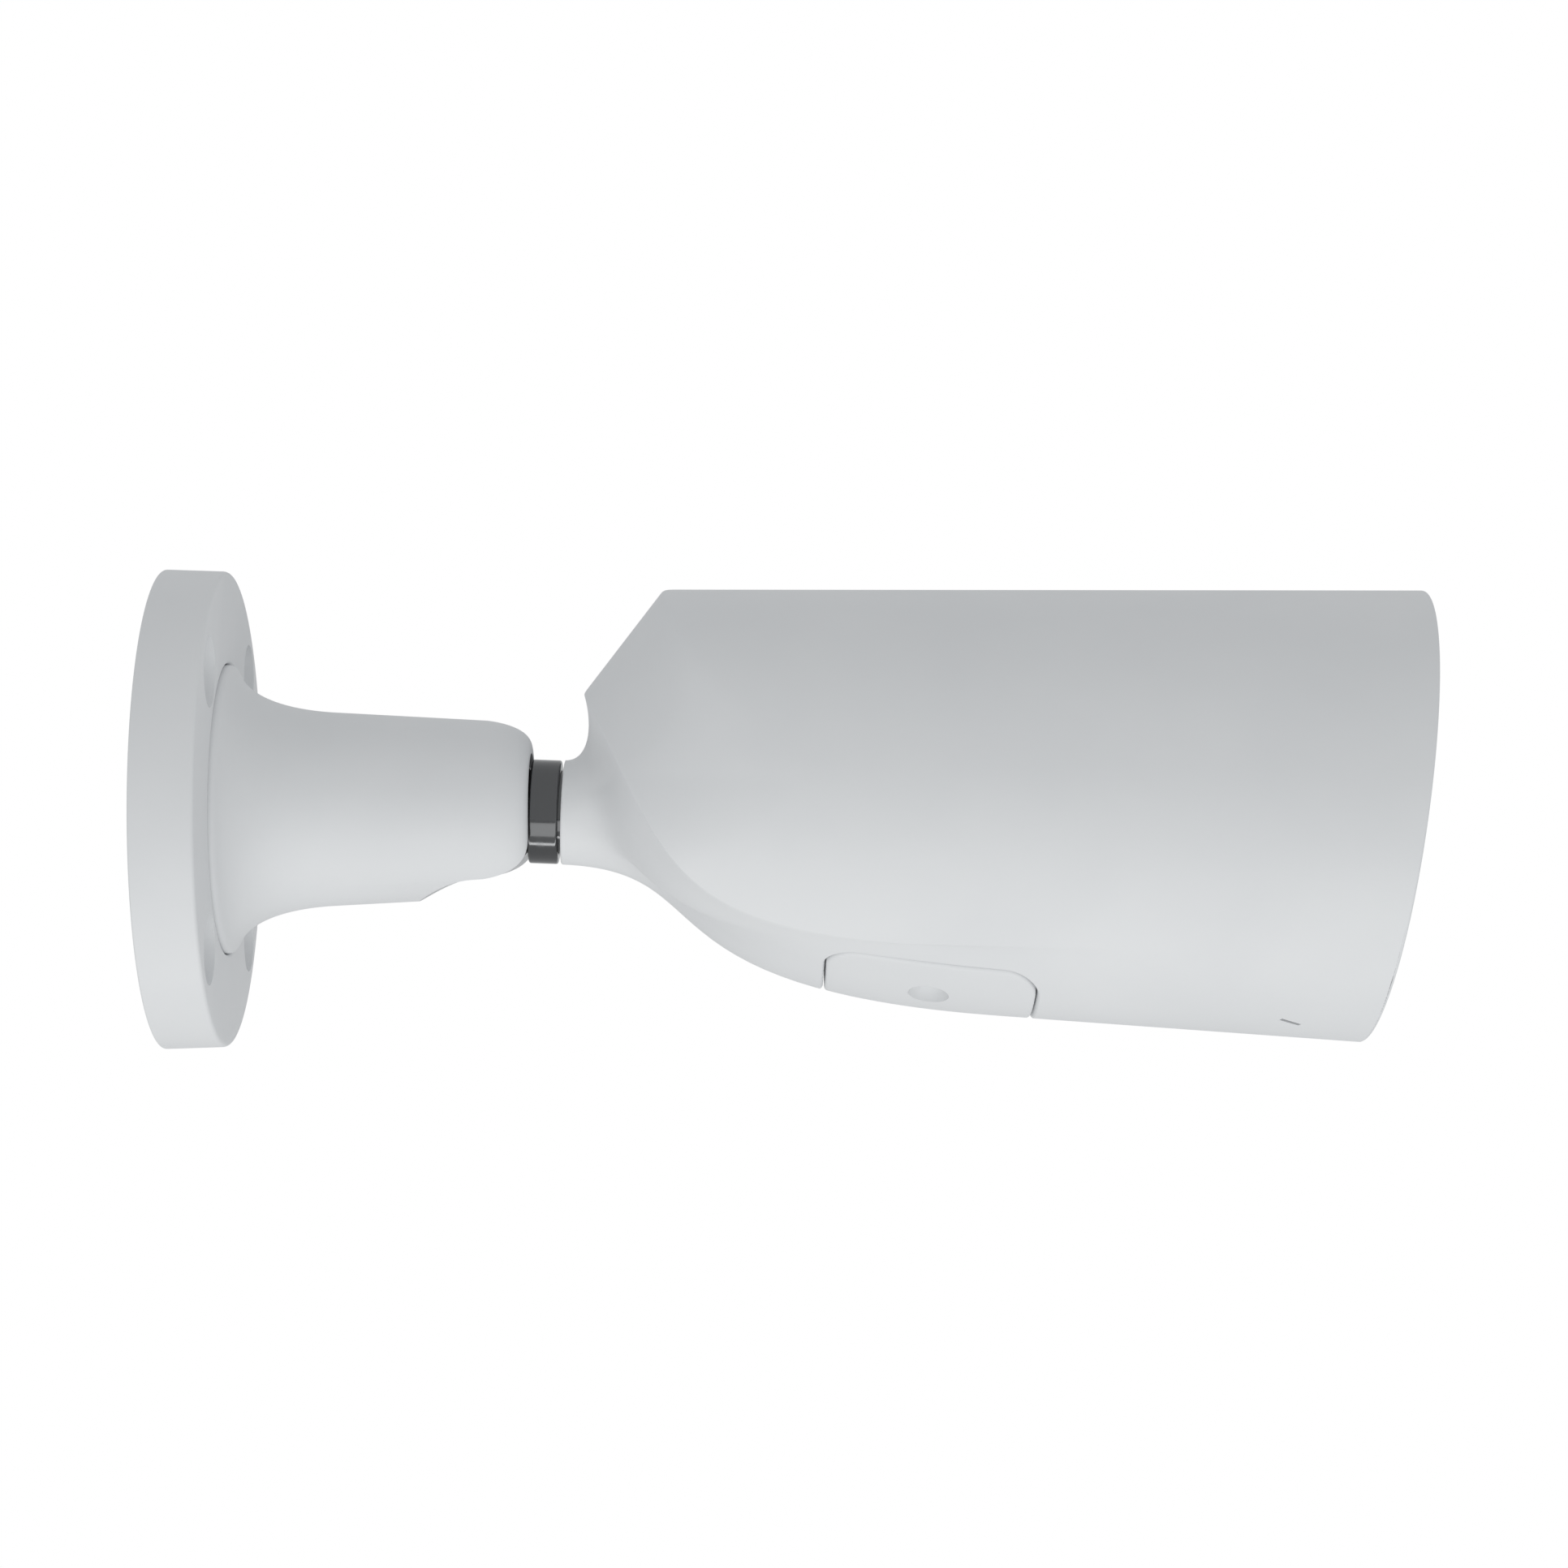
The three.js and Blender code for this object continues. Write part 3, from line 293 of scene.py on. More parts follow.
# ---- materials -----------------------------------------------------------------------------------
def new_material(name, color, roughness, metallic=0.0, **sockets):
    """A Principled material; other sockets are set by name, with _ for each space."""
    material = bpy.data.materials.new(name)
    material.use_nodes = True
    shader = material.node_tree.nodes["Principled BSDF"]
    shader.inputs["Base Color"].default_value = (*color, 1)
    shader.inputs["Roughness"].default_value = roughness
    shader.inputs["Metallic"].default_value = metallic
    for socket, value in sockets.items():
        shader.inputs[socket.replace("_", " ")].default_value = value
    return material


def noise(material, scale, detail=3.0, stretch=(1, 1, 1)):
    nodes, links = material.node_tree.nodes, material.node_tree.links
    place = nodes.new("ShaderNodeTexCoord")
    mapping = nodes.new("ShaderNodeMapping")
    mapping.inputs["Scale"].default_value = stretch
    texture = nodes.new("ShaderNodeTexNoise")
    texture.inputs["Scale"].default_value = scale
    texture.inputs["Detail"].default_value = detail
    links.new(place.outputs["Object"], mapping.inputs["Vector"])
    links.new(mapping.outputs["Vector"], texture.inputs["Vector"])
    return texture.outputs["Fac"]


def spread(material, source, low, high):
    """Maps a noise on to a range of values."""
    node = material.node_tree.nodes.new("ShaderNodeMapRange")
    node.inputs["From Min"].default_value = 0.3
    node.inputs["From Max"].default_value = 0.7
    node.inputs["To Min"].default_value = low
    node.inputs["To Max"].default_value = high
    material.node_tree.links.new(source, node.inputs["Value"])
    return node.outputs["Result"]


def vary_roughness(material, scale, low, high, stretch=(1, 1, 1)):
    shader = material.node_tree.nodes["Principled BSDF"]
    source = spread(material, noise(material, scale, stretch=stretch), low, high)
    material.node_tree.links.new(source, shader.inputs["Roughness"])


def vary_color(material, scale, low, high):
    """Mottles the colour between two shades."""
    shader = material.node_tree.nodes["Principled BSDF"]
    ramp = material.node_tree.nodes.new("ShaderNodeValToRGB")
    ramp.color_ramp.elements[0].color = (*low, 1)
    ramp.color_ramp.elements[0].position = 0.35
    ramp.color_ramp.elements[1].color = (*high, 1)
    ramp.color_ramp.elements[1].position = 0.65
    material.node_tree.links.new(noise(material, scale), ramp.inputs["Fac"])
    material.node_tree.links.new(ramp.outputs["Color"], shader.inputs["Base Color"])


def add_bump(material, scale, depth, strength=1.0, detail=2.0, stretch=(1, 1, 1)):
    """Raises a fine grain, depth in millimetres; a second call lies over the first."""
    nodes, links = material.node_tree.nodes, material.node_tree.links
    shader = nodes["Principled BSDF"]
    bump = nodes.new("ShaderNodeBump")
    bump.inputs["Strength"].default_value = strength
    bump.inputs["Distance"].default_value = depth * MM
    links.new(noise(material, scale, detail, stretch), bump.inputs["Height"])
    if shader.inputs["Normal"].links:
        links.new(shader.inputs["Normal"].links[0].from_socket, bump.inputs["Normal"])
    links.new(bump.outputs["Normal"], shader.inputs["Normal"])


def white_coat():
    """Satin white powder coat: a fine orange peel, with faint changes of shade and gloss."""
    material = new_material("white_coat", (0.77, 0.78, 0.79), 0.5)
    vary_color(material, 35, (0.765, 0.777, 0.79), (0.785, 0.796, 0.807))
    vary_roughness(material, 60, 0.46, 0.56)
    add_bump(material, 900, 0.012)
    add_bump(material, 260, 0.01)
    return material


def dark_metal():
    """Turned and dark-plated metal, with fine turning lines round its axis."""
    material = new_material("dark_metal", (0.125, 0.127, 0.13), 0.12, 0.9)
    vary_roughness(material, 300, 0.09, 0.15, (6, 0.6, 0.6))
    add_bump(material, 1500, 0.001, stretch=(4, 0.2, 0.2))
    return material


def bright_metal(name, color, low=0.28, high=0.42):
    material = new_material(name, color, 0.35, 1.0)
    vary_roughness(material, 400, low, high)
    add_bump(material, 1400, 0.004)
    return material


def moulded(name, color, roughness=0.5, grain=0.012, shift=0.25):
    """Moulded plastic or rubber with a fine matte grain."""
    material = new_material(name, color, roughness)
    vary_color(material, 90, tuple(c * (1 - shift) for c in color), tuple(c * (1 + shift) for c in color))
    vary_roughness(material, 220, roughness - 0.06, roughness + 0.08)
    add_bump(material, 1800, grain)
    return material


def circuit_board():
    """Green solder mask over traces that show as faint raised lines."""
    material = new_material("circuit_board", (0.02, 0.12, 0.05), 0.35)
    nodes, links = material.node_tree.nodes, material.node_tree.links
    vary_color(material, 160, (0.012, 0.085, 0.035), (0.03, 0.15, 0.065))
    brick = nodes.new("ShaderNodeTexBrick")
    brick.inputs["Scale"].default_value = 260
    brick.inputs["Mortar Size"].default_value = 0.035
    place = nodes.new("ShaderNodeTexCoord")
    links.new(place.outputs["Object"], brick.inputs["Vector"])
    bump = nodes.new("ShaderNodeBump")
    bump.inputs["Distance"].default_value = 0.05 * MM
    links.new(brick.outputs["Fac"], bump.inputs["Height"])
    links.new(bump.outputs["Normal"], nodes["Principled BSDF"].inputs["Normal"])
    vary_roughness(material, 300, 0.3, 0.45)
    return material


def window_glass():
    """The flat front window: smoke-tinted, polished, with the faintest unevenness in its gloss."""
    material = new_material("window_glass", (0.012, 0.014, 0.016), 0.03, Alpha=0.42, IOR=1.5)
    vary_roughness(material, 40, 0.02, 0.05)
    return material


def lens_glass():
    """Coated lens glass: dark, with a violet and green bloom."""
    material = new_material("lens_glass", (0.02, 0.025, 0.06), 0.03, IOR=1.7, Coat_Weight=0.6)
    vary_color(material, 60, (0.012, 0.02, 0.05), (0.035, 0.02, 0.07))
    vary_roughness(material, 80, 0.02, 0.05)
    return material


def lamp_resin():
    material = new_material("lamp_resin", (0.06, 0.02, 0.016), 0.12, IOR=1.5, Coat_Weight=0.3)
    vary_color(material, 300, (0.045, 0.014, 0.012), (0.08, 0.028, 0.02))
    vary_roughness(material, 200, 0.1, 0.18)
    return material


MATERIALS = {
    "white_coat": white_coat(),
    "dark_metal": dark_metal(),
    "steel": bright_metal("steel", (0.62, 0.63, 0.64)),
    "brass": bright_metal("brass", (0.72, 0.55, 0.27)),
    "cast_alloy": bright_metal("cast_alloy", (0.6, 0.61, 0.62), 0.45, 0.6),
    "black_plastic": moulded("black_plastic", (0.014, 0.014, 0.015)),
    "seal_rubber": moulded("seal_rubber", (0.012, 0.012, 0.012), 0.75, 0.02),
    "chip_plastic": moulded("chip_plastic", (0.02, 0.02, 0.022), 0.45),
    "circuit_board": circuit_board(),
    "window_glass": window_glass(),
    "lens_glass": lens_glass(),
    "lamp_plastic": lamp_resin(),
}


def carry_over():
    """Every CAD node first takes the material of its slot; finer pieces then replace most of them."""
    for part in frame["record"]["subparts"]:
        node = frame["nodes"][part["node"]]
        node.data.materials.clear()
        node.data.materials.append(MATERIALS[part["material_slot"]])


# ---- wall plate ----------------------------------------------------------------------------------
def wall_plate():
    front = PLATE_THICK
    outline = profile(
        (0, PLATE_RIM_R, 0.3),
        (0, PLATE_R, 0.4),
        (front, PLATE_R - 0.4, 1.1),
        (front, RECESS_R, 0.7),
        (RECESS_X, RECESS_R, 0.4),
        (RECESS_X, PLATE_HOLE_R, 0.3),
        (PLATE_WEB_X, PLATE_HOLE_R, 0.3),
        (PLATE_WEB_X, PLATE_RIM_R, 0.8),
        steps=5,
    )
    plate = turned("wall_plate", outline, segments=192)
    half = WALL_HOLE_SPACING / 2
    places = [(0, side * half, level * half) for side in (-1, 1) for level in (-1, 1)]
    boss_top = PLATE_WEB_X + 1
    boss = profile((0, 0), (0, WALL_BOSS_R, 0.3), (boss_top, WALL_BOSS_R), (boss_top, 0))
    floor, bore_r, mouth_r = WALL_HOLE_FLOOR_X, WALL_HOLE_BORE_R, WALL_HOLE_MOUTH_R
    dish = [(front - 3.8, bore_r), (front - 3.4, mouth_r - 1.2)]
    dish += [(front - 1.0, mouth_r - 0.35), (front, mouth_r)]
    bore = [(-1, 0), (-1, WALL_HOLE_R), (floor, WALL_HOLE_R), (floor, bore_r), *curve(dish, 7)]
    bore += [(front + 1, mouth_r + 0.9), (front + 1, 0)]
    for place in places:
        boolean(plate, [turned("boss", boss, segments=48, offset=place)], "UNION")
    for place in places:
        boolean(plate, [turned("hole", bore, segments=64, offset=place)])
    return dress(plate, "wall_base", "white_coat", "base_plate")


def entry_gasket():
    back, front, inner, outer = 0.15, 4.7, 26, 29.5
    outline = profile((back, inner, 0.5), (back, outer, 0.5), (front, outer, 0.8), (front, inner, 0.8))
    dress(turned("entry_gasket", outline), "wall_base", "seal_rubber", "cable_entry_gasket")


# ---- arm -----------------------------------------------------------------------------------------
def swing_tool():
    """The way of the stem, from straight out to straight down: two rods and the block between them."""
    rod = [(0, 0), (0, ARM_SLOT_R), (ARM_SLOT_REACH, ARM_SLOT_R), (ARM_SLOT_REACH, 0)]
    along = turned("along", rod, segments=64, offset=(BALL_X, 0, 0))
    down = turned("down", rod, segments=64)
    moved(down, Matrix.Translation((BALL_X * MM, 0, 0)) @ Matrix.Rotation(math.pi / 2, 4, "Y"))
    low, high = (BALL_X, -ARM_SLOT_R, -ARM_SLOT_REACH), (BALL_X + ARM_SLOT_REACH, ARM_SLOT_R, 0)
    between = block("between", low, high)
    boolean(along, [down], "UNION")
    return boolean(along, [between], "UNION")


def pan_screw_holes():
    """Tools for the holes of the pan retainer's screws, through the plate and into the arm's foot."""
    outline = [(0, 0), (0, PAN_HOLE_R), (8, PAN_HOLE_R), (8, 0)]
    tools = []
    for angle in PAN_SCREW_ANGLES:
        hole = turned("hole", outline, segments=24, offset=(0, 0, PAN_SCREW_RING))
        tools.append(moved(hole, Matrix.Rotation(math.radians(angle), 4, "X")))
    return tools


def arm():
    foot_back, foot_front = RECESS_X + GAP, FOOT_X - 0.9
    nose_x, nose_r = NOSE[-1]
    spigot = [(SPIGOT_X, ARM_BORE_R, 0), (SPIGOT_X, SPIGOT_R, 0.4), (foot_back, SPIGOT_R, 0.3)]
    foot = [(foot_back, SPIGOT_R, 0), (foot_back, FOOT_R, 0.5), (foot_front, FOOT_R, 0)]
    shoulder = [(foot_front, FOOT_R), (FOOT_X - 0.3, FOOT_R), (FOOT_X + 0.1, FOOT_R - 0.5)]
    shoulder.append(bezier(BELL, BELL_START))
    mouth = [(nose_x, nose_r, 0), (nose_x, ARM_SLOT_R - 0.1, 0), (BALL_X + 8.4, ARM_SLOT_R + 0.2, 0)]
    bell_steps = 28
    outline = [
        *profile_line(spigot),
        *profile_line(foot)[1:],
        *curve(shoulder, 5),
        *[bezier(BELL, BELL_START + (1 - BELL_START) * k / bell_steps) for k in range(1, bell_steps + 1)],
        *curve(NOSE, 16),
        *profile_line(mouth)[1:],
        (BALL_X + 4.9, ARM_BORE_R),
    ]
    body = turned("arm_body", outline, segments=192)
    boolean(body, [swing_tool()])
    boolean(body, pan_screw_holes())
    bevel(body, 0.35, 3)
    return dress(body, "arm", "white_coat", "arm")


def retaining_parts():
    back, front, inner, outer = 2.4, 4.7, 12, 25
    outline = profile((back, inner, 0.3), (back, outer, 0.3), (front, outer, 0.3), (front, inner, 0.3))
    plate = turned("retainer_plate", outline)
    boolean(plate, pan_screw_holes())
    dress(plate, "arm", "steel", "pan_retainer")
    head = [(0.5, 0), (0.5, 1.9, 0.2), (0.9, 2.5, 0.3), (2.1, 2.5)]
    shank = [(2.1, 1.3), (7.6, 1.3, 0.3), (7.6, 0)]
    for number, angle in enumerate(PAN_SCREW_ANGLES, 1):
        place = (0, 0, PAN_SCREW_RING)
        screw = turned(f"retainer_screw_{number}", profile(*head, *shank), segments=48, offset=place)
        boolean(screw, [socket_tool(0.3, 1.5, 1.15, place)])
        moved(screw, Matrix.Rotation(math.radians(angle), 4, "X"))
        dress(screw, "arm", "steel", f"pan_screw_{number}")


def socket_tool(x0, x1, across, offset, lobes=6, depth=0.14):
    """A six-lobed drive socket along X."""
    outline = []
    for a in angles(48):
        r = across * (1 - depth * (1 + math.cos(lobes * a)))
        outline.append((offset[1] + r * math.cos(a), offset[2] + r * math.sin(a)))
    return loft("socket", [[(x + offset[0], y, z) for y, z in outline] for x in (x0, x1)])


# ---- ball, stem and collar -----------------------------------------------------------------------
def ball_and_stem():
    join = math.sqrt(BALL_R**2 - STEM_R**2)
    start, end = math.pi - math.asin(BALL_BORE_R / BALL_R), math.asin(STEM_R / BALL_R)
    steps = 40
    outline = [
        (BALL_R * math.cos(a), BALL_R * math.sin(a))
        for a in (start + (end - start) * k / steps for k in range(steps))
    ]
    shaft = [(join, STEM_R, 0)]
    for groove_start, groove_end, groove_r in STEM_GROOVES:
        shaft += [(groove_start, STEM_R, 0.2), (groove_start, groove_r, 0)]
        shaft += [(groove_end, groove_r, 0), (groove_end, STEM_R, 0.2)]
    shaft += [(STEM_END, STEM_R, 0.3), (STEM_END, BALL_BORE_R, 0)]
    outline += profile_line(shaft)
    dress(turned("stem", outline, AIMED), "tilt_stem", "dark_metal", "ball_stem")


def collar():
    s0, s1, r = COLLAR_S0, COLLAR_S1, COLLAR_R
    outline = profile((s0, COLLAR_BORE_R, 0.3), (s0, r, 0.5), (s1, r, 0.5), (s1, COLLAR_BORE_R, 0.3), steps=6)
    dress(turned("collar", outline, AIMED, 160), "locking_collar", "dark_metal", "locking_collar")


# ---- the housing's skin --------------------------------------------------------------------------
def hood_r(s):
    return HOOD_R0 + HOOD_TAPER * s


def rear_depth(s, h):
    return math.sin(REAR_LEAN) * s - math.cos(REAR_LEAN) * h - REAR_OFFSET


def squared_widths(s, h):
    """Squares of the half widths of the cone and of the rear cylinder, which runs on straight when wide."""
    depth = rear_depth(s, h)
    near = min(depth, REAR_STRAIGHT)
    rear = near * (2 * REAR_R - near) + (depth - near) * 2 * (REAR_R - near)
    return hood_r(s) ** 2 - (h - HOOD_RISE) ** 2, rear


def blend_reach(h):
    """How softly the cone runs into the rear cylinder: sharp at the top, ever softer below."""
    share = min(1.0, max(0.0, (BLEND_H[0] - h) / (BLEND_H[0] - BLEND_H[1])))
    return 1e-6 + REAR_BLEND * share**1.5


def hood_width_squared(s, h):
    """The smaller of the two squares, rounded off where they are nearly the same."""
    cone, rear = squared_widths(s, h)
    reach = blend_reach(h)
    return min(cone, rear) - max(0.0, reach - abs(cone - rear)) ** 2 / (4 * reach)


def hood_width(s, h):
    return math.sqrt(max(0.0, hood_width_squared(s, h)))


def hood_normal(point, step=0.05):
    s, y, h = point
    along_s = hood_width_squared(s + step, h) - hood_width_squared(s - step, h)
    along_h = hood_width_squared(s, h + step) - hood_width_squared(s, h - step)
    return Vector((-along_s, 4 * step * y, -along_h)).normalized()


def blended(point):
    """Moves a point of the cone or of the rear cylinder in to the blend between them."""
    s, y, h = point
    cone, rear = squared_widths(s, h)
    if h < BLEND_H[0] and abs(cone - rear) < blend_reach(h):
        return Vector((s, hood_width(s, h), h))
    return Vector(point)


def cone_point(s, angle):
    return Vector((s, hood_r(s) * math.cos(angle), HOOD_RISE + hood_r(s) * math.sin(angle)))


def bisect(low, high, below):
    """The value between low and high up to which below(value) holds."""
    for _ in range(50):
        middle = (low + high) / 2
        if below(middle):
            low = middle
        else:
            high = middle
    return low


def on_rear(t):
    cone, rear = squared_widths(*bezier(CREASE, t))
    return rear < cone


CREASE_CROSS = bisect(0.05, 0.6, on_rear)
CREASE_LAST = bisect(0, 1, lambda t: bezier(CREASE, t)[0] < CREASE_END_S)


def trim_point(u):
    """The edge that the undercut ends on, from the top centre (0) round to the bottom centre (1)."""
    if u <= U_TURN:
        if u <= U_CROSS:
            t = CREASE_CROSS * (u / U_CROSS) ** 2
        else:
            t = CREASE_CROSS + (CREASE_LAST - CREASE_CROSS) * (u - U_CROSS) / (U_TURN - U_CROSS)
        s, h = bezier(CREASE, t)
        return Vector((s, hood_width(s, h), h))
    quarter = (u - U_TURN) / (1 - U_TURN) * math.pi / 2
    s, h = bezier(CREASE, CREASE_LAST)
    angle = math.asin((h - HOOD_RISE) / hood_r(s))
    return cone_point(
        s + (BELLY_END_S - s) * math.sin(quarter),
        angle + (-math.pi / 2 - angle) * (1 - math.cos(quarter)),
    )


def kink(u, s):
    """How sharply the undercut meets the hood at the trim."""
    if u >= U_TURN:
        return 0.0
    fade = min(1.0, max(0.0, (CREASE_END_S - s) / (CREASE_END_S - KINK_S)))
    return KINK_ANGLE * fade**1.3


def neck_column(u):
    """One line of the undercut, as Bezier points from the neck's circle to the trim, and its angle there."""
    step = 1e-3
    end = trim_point(u)
    along = (trim_point(min(1, u + step)) - trim_point(max(0, u - step))).normalized()
    if u in (0, 1):
        along = Vector((0, 1 if u == 0 else -1, 0))
    normal = hood_normal(end)
    forward = normal.cross(along).normalized()
    if forward.dot(Vector((1, 0, 0.8))) < 0:
        forward.negate()
    bend = kink(u, end.x)
    outward = forward * math.cos(bend) + normal * math.sin(bend)
    surface_normal = along.cross(outward).normalized()
    own_angle = math.atan2(end.z, max(0.0, end.y))
    angle = (own_angle + math.pi / 2 - math.pi * u) / 2
    start = Vector((NECK_S, NECK_R * math.cos(angle), NECK_R * math.sin(angle)))
    chord = (end - start).length
    first = start + Vector((NECK_PULL * chord, 0, 0))
    tangent = end - first
    tangent = (tangent - surface_normal * tangent.dot(surface_normal)).normalized()
    pull = (TOP_PULL + (BOTTOM_PULL - TOP_PULL) * u) * chord
    return [start, first, end - tangent * pull, end], angle


def rear_edge(angle):
    """Where the rear cylinder meets the cone, at an angle about the cone's axis."""

    def outside(s):
        _, y, h = cone_point(s, angle)
        depth = rear_depth(s, h)
        return depth < REAR_R and y**2 + (REAR_R - depth) ** 2 > REAR_R**2

    return bisect(0, 90, outside)


def rim_point(angle, wall=0.0):
    rise = math.sin(angle)
    s = (RIM_S0 + RIM_LEAN * (HOOD_RISE + (HOOD_R0 - wall) * rise)) / (1 - RIM_LEAN * HOOD_TAPER * rise)
    point = cone_point(s, angle)
    return point - Vector((0, math.cos(angle), math.sin(angle))) * wall


def rear_place(point):
    s, y, h = point
    turn = math.atan2(y, REAR_R - rear_depth(s, h))
    return turn, math.cos(REAR_LEAN) * s + math.sin(REAR_LEAN) * h


def rear_point(turn, along):
    depth = REAR_R - REAR_R * math.cos(turn) + REAR_OFFSET
    return Vector(
        (
            math.sin(REAR_LEAN) * depth + math.cos(REAR_LEAN) * along,
            REAR_R * math.sin(turn),
            -math.cos(REAR_LEAN) * depth + math.sin(REAR_LEAN) * along,
        )
    )


def on_cone(point):
    s, y, h = point
    return s, math.atan2(h - HOOD_RISE, y)


def shares(count, ends=0.0):
    """Evenly spread values from 0 to 1, drawn towards both ends by a share."""
    even = [i / count for i in range(count + 1)]
    return [x - ends * math.sin(2 * math.pi * x) / (2 * math.pi) for x in even]


def body_column(u):
    """One line of the housing from its bore, over the neck, the undercut and the hood to inside the rim."""
    neck, angle = neck_column(u)
    spoke = Vector((0, math.cos(angle), math.sin(angle)))
    bore = [Vector((s, 0, 0)) + spoke * r for s, r in ((39.0, NECK_BORE_R), (NECK_S, NECK_BORE_R))]
    lip = [Vector((NECK_S, 0, 0)) + spoke * NECK_R, neck[0] + Vector((2, 0, 0))]
    points = filleted([*bore, *lip], [0, 0.3, 0.45, 0])[:-1]
    points += [Vector(bezier(neck, x)) for x in shares(NECK_ROWS, 0.7)[1:]]
    trim = neck[3]
    cross_angle = on_cone(trim_point(U_CROSS))[1]
    rim_angle = math.pi / 2 - math.pi * u
    rim = on_cone(rim_point(rim_angle))
    if u < U_CROSS - 1e-9:
        edge_angle = math.pi / 2 + (cross_angle - math.pi / 2) * u / U_CROSS
        start = (rear_edge(edge_angle), edge_angle)
        low, high = rear_place(trim), rear_place(cone_point(*start))
        points += [blended(rear_point(*mix(low, high, x))) for x in shares(REAR_ROWS, 0.7)[1:-1]]
        points.append(blended(cone_point(*start)))
    else:
        start = mix(on_cone(trim), rim, 0.12 * (u - U_CROSS) / (1 - U_CROSS))
        points += [blended(cone_point(*mix(on_cone(trim), start, x))) for x in shares(REAR_ROWS)[1:]]
    points += [blended(cone_point(*mix(start, rim, x))) for x in shares(CONE_ROWS, 0.5)[1:-1]]
    lead_in = cone_point(*mix(start, rim, 1 - 1.2 / max(20.0, rim[0] - start[0])))
    inner = rim_point(rim_angle, HOOD_WALL)
    deep_s = BEZEL_S0 - 2
    spoke = Vector((0, math.cos(rim_angle), math.sin(rim_angle)))
    deep = Vector((deep_s, 0, HOOD_RISE)) + spoke * (hood_r(deep_s) - HOOD_WALL)
    points += filleted([lead_in, rim_point(rim_angle), inner, deep], [0, 0.7, 0.7, 0], RIM_ROWS)[1:]
    return points


def fluted(point, u):
    """Draws the side of the belly in a little, so that the undercut's edge runs on forward as a soft line."""
    share = (u - U_TURN) / (1 - U_TURN)
    start, peak, end = FLUTE_SPAN
    reach = (point.x - start) / (peak - start) if point.x < peak else (end - point.x) / (end - peak)
    if share <= 0 or reach <= 0:
        return point
    depth = FLUTE_DEPTH * share * (1 - share) ** 2 * smooth_step(reach)
    spoke = Vector((0, point.y, point.z - HOOD_RISE)).normalized()
    return point - spoke * depth


def evened(half, rows):
    """
    Evens out a band of rows across the columns of half a skin, most in mid-band, by a weighted mean.

    Beyond the bottom line the mean takes in the far side's mirror image, and on that line it does nothing.
    """
    count = len(half) - 1
    source = [column[rows[0] : rows[1]] for column in half]
    for i, column in enumerate(half):
        u = i / count
        share = smooth_step((u - EVEN_START) / EVEN_RISE) * smooth_step((1 - u) / EVEN_FADE)
        for r in range(rows[1] - rows[0]):
            width = EVEN_COLUMNS * share * math.sin(math.pi * r / (rows[1] - rows[0])) ** 0.7
            if width < EVEN_LEAST:
                continue
            reach = int(2.5 * width)
            total, weight = Vector((0, 0, 0)), 0.0
            for k in range(-reach, reach + 1):
                j, side = i + k, 1
                if j > count:
                    j, side = 2 * count - j, -1
                w = math.exp(-0.5 * (k / width) ** 2)
                s, y, h = source[abs(j)][r]
                total += Vector((s, side * y, h)) * w
                weight += w
            column[rows[0] + r] = total / weight


def skin_grid():
    """The whole skin as a list of columns, softened along the undercut's edge and the rear edge."""
    stations = [i / HALF_COLUMNS for i in range(HALF_COLUMNS + 1)]
    half = [[fluted(point, u) for point in body_column(u)] for u in stations]
    trim_row = next(i for i, p in enumerate(half[0]) if (p - trim_point(0)).length < 1e-6)
    evened(half, (trim_row - NECK_ROWS, trim_row))
    for column in half:
        for middle, (reach, rounds) in ((trim_row, TRIM_SOFTENING), (trim_row + REAR_ROWS, REAR_SOFTENING)):
            for _ in range(rounds):
                rows = range(middle - reach, middle + reach + 1)
                soft = [column[r - 1] * 0.25 + column[r] * 0.5 + column[r + 1] * 0.25 for r in rows]
                column[middle - reach : middle + reach + 1] = soft
    for column in (half[0], half[-1]):
        for point in column:
            point.y = 0
    mirrored = [[Vector((p.x, -p.y, p.z)) for p in column] for column in half[-2:0:-1]]
    return half + mirrored


def skin_solid(name):
    return loft(name, list(zip(*skin_grid())), LOCAL)


def rounded_rectangle(s0, s1, half_y, corner, arc=10, side=14):
    """Points round a rounded rectangle in s and y, with the same count for any size."""
    centres = [(s1 - corner, half_y - corner), (s0 + corner, half_y - corner)]
    centres += [(s0 + corner, -half_y + corner), (s1 - corner, -half_y + corner)]
    points = []
    for turn, (cs, cy) in enumerate(centres):
        for k in range(arc + 1):
            a = math.pi / 2 * (turn + k / arc)
            points.append((cs + corner * math.cos(a), cy + corner * math.sin(a)))
        ns, ny = centres[(turn + 1) % 4]
        a = math.pi / 2 * (turn + 1)
        first = points[-1]
        last = (ns + corner * math.cos(a), ny + corner * math.sin(a))
        points += [mix(first, last, k / side) for k in range(1, side)]
    return points


def grown(shape, by):
    return rounded_rectangle(shape["s0"] - by, shape["s1"] + by, shape["half_y"] + by, shape["corner"] + by)


class Belly:
    """Heights of the housing's underside, found by looking up at the whole skin from below."""

    def __init__(self, skin):
        work = bmesh.new()
        work.from_mesh(skin.data)
        self.tree = BVHTree.FromBMesh(work)
        work.free()

    def height(self, s, y):
        hit = self.tree.ray_cast(Vector((s, y, -90)), Vector((0, 0, 1)))[0]
        return hit.z if hit else None

    def loop(self, points, depth):
        return [(s, y, self.height(s, y) + depth) for s, y in points]


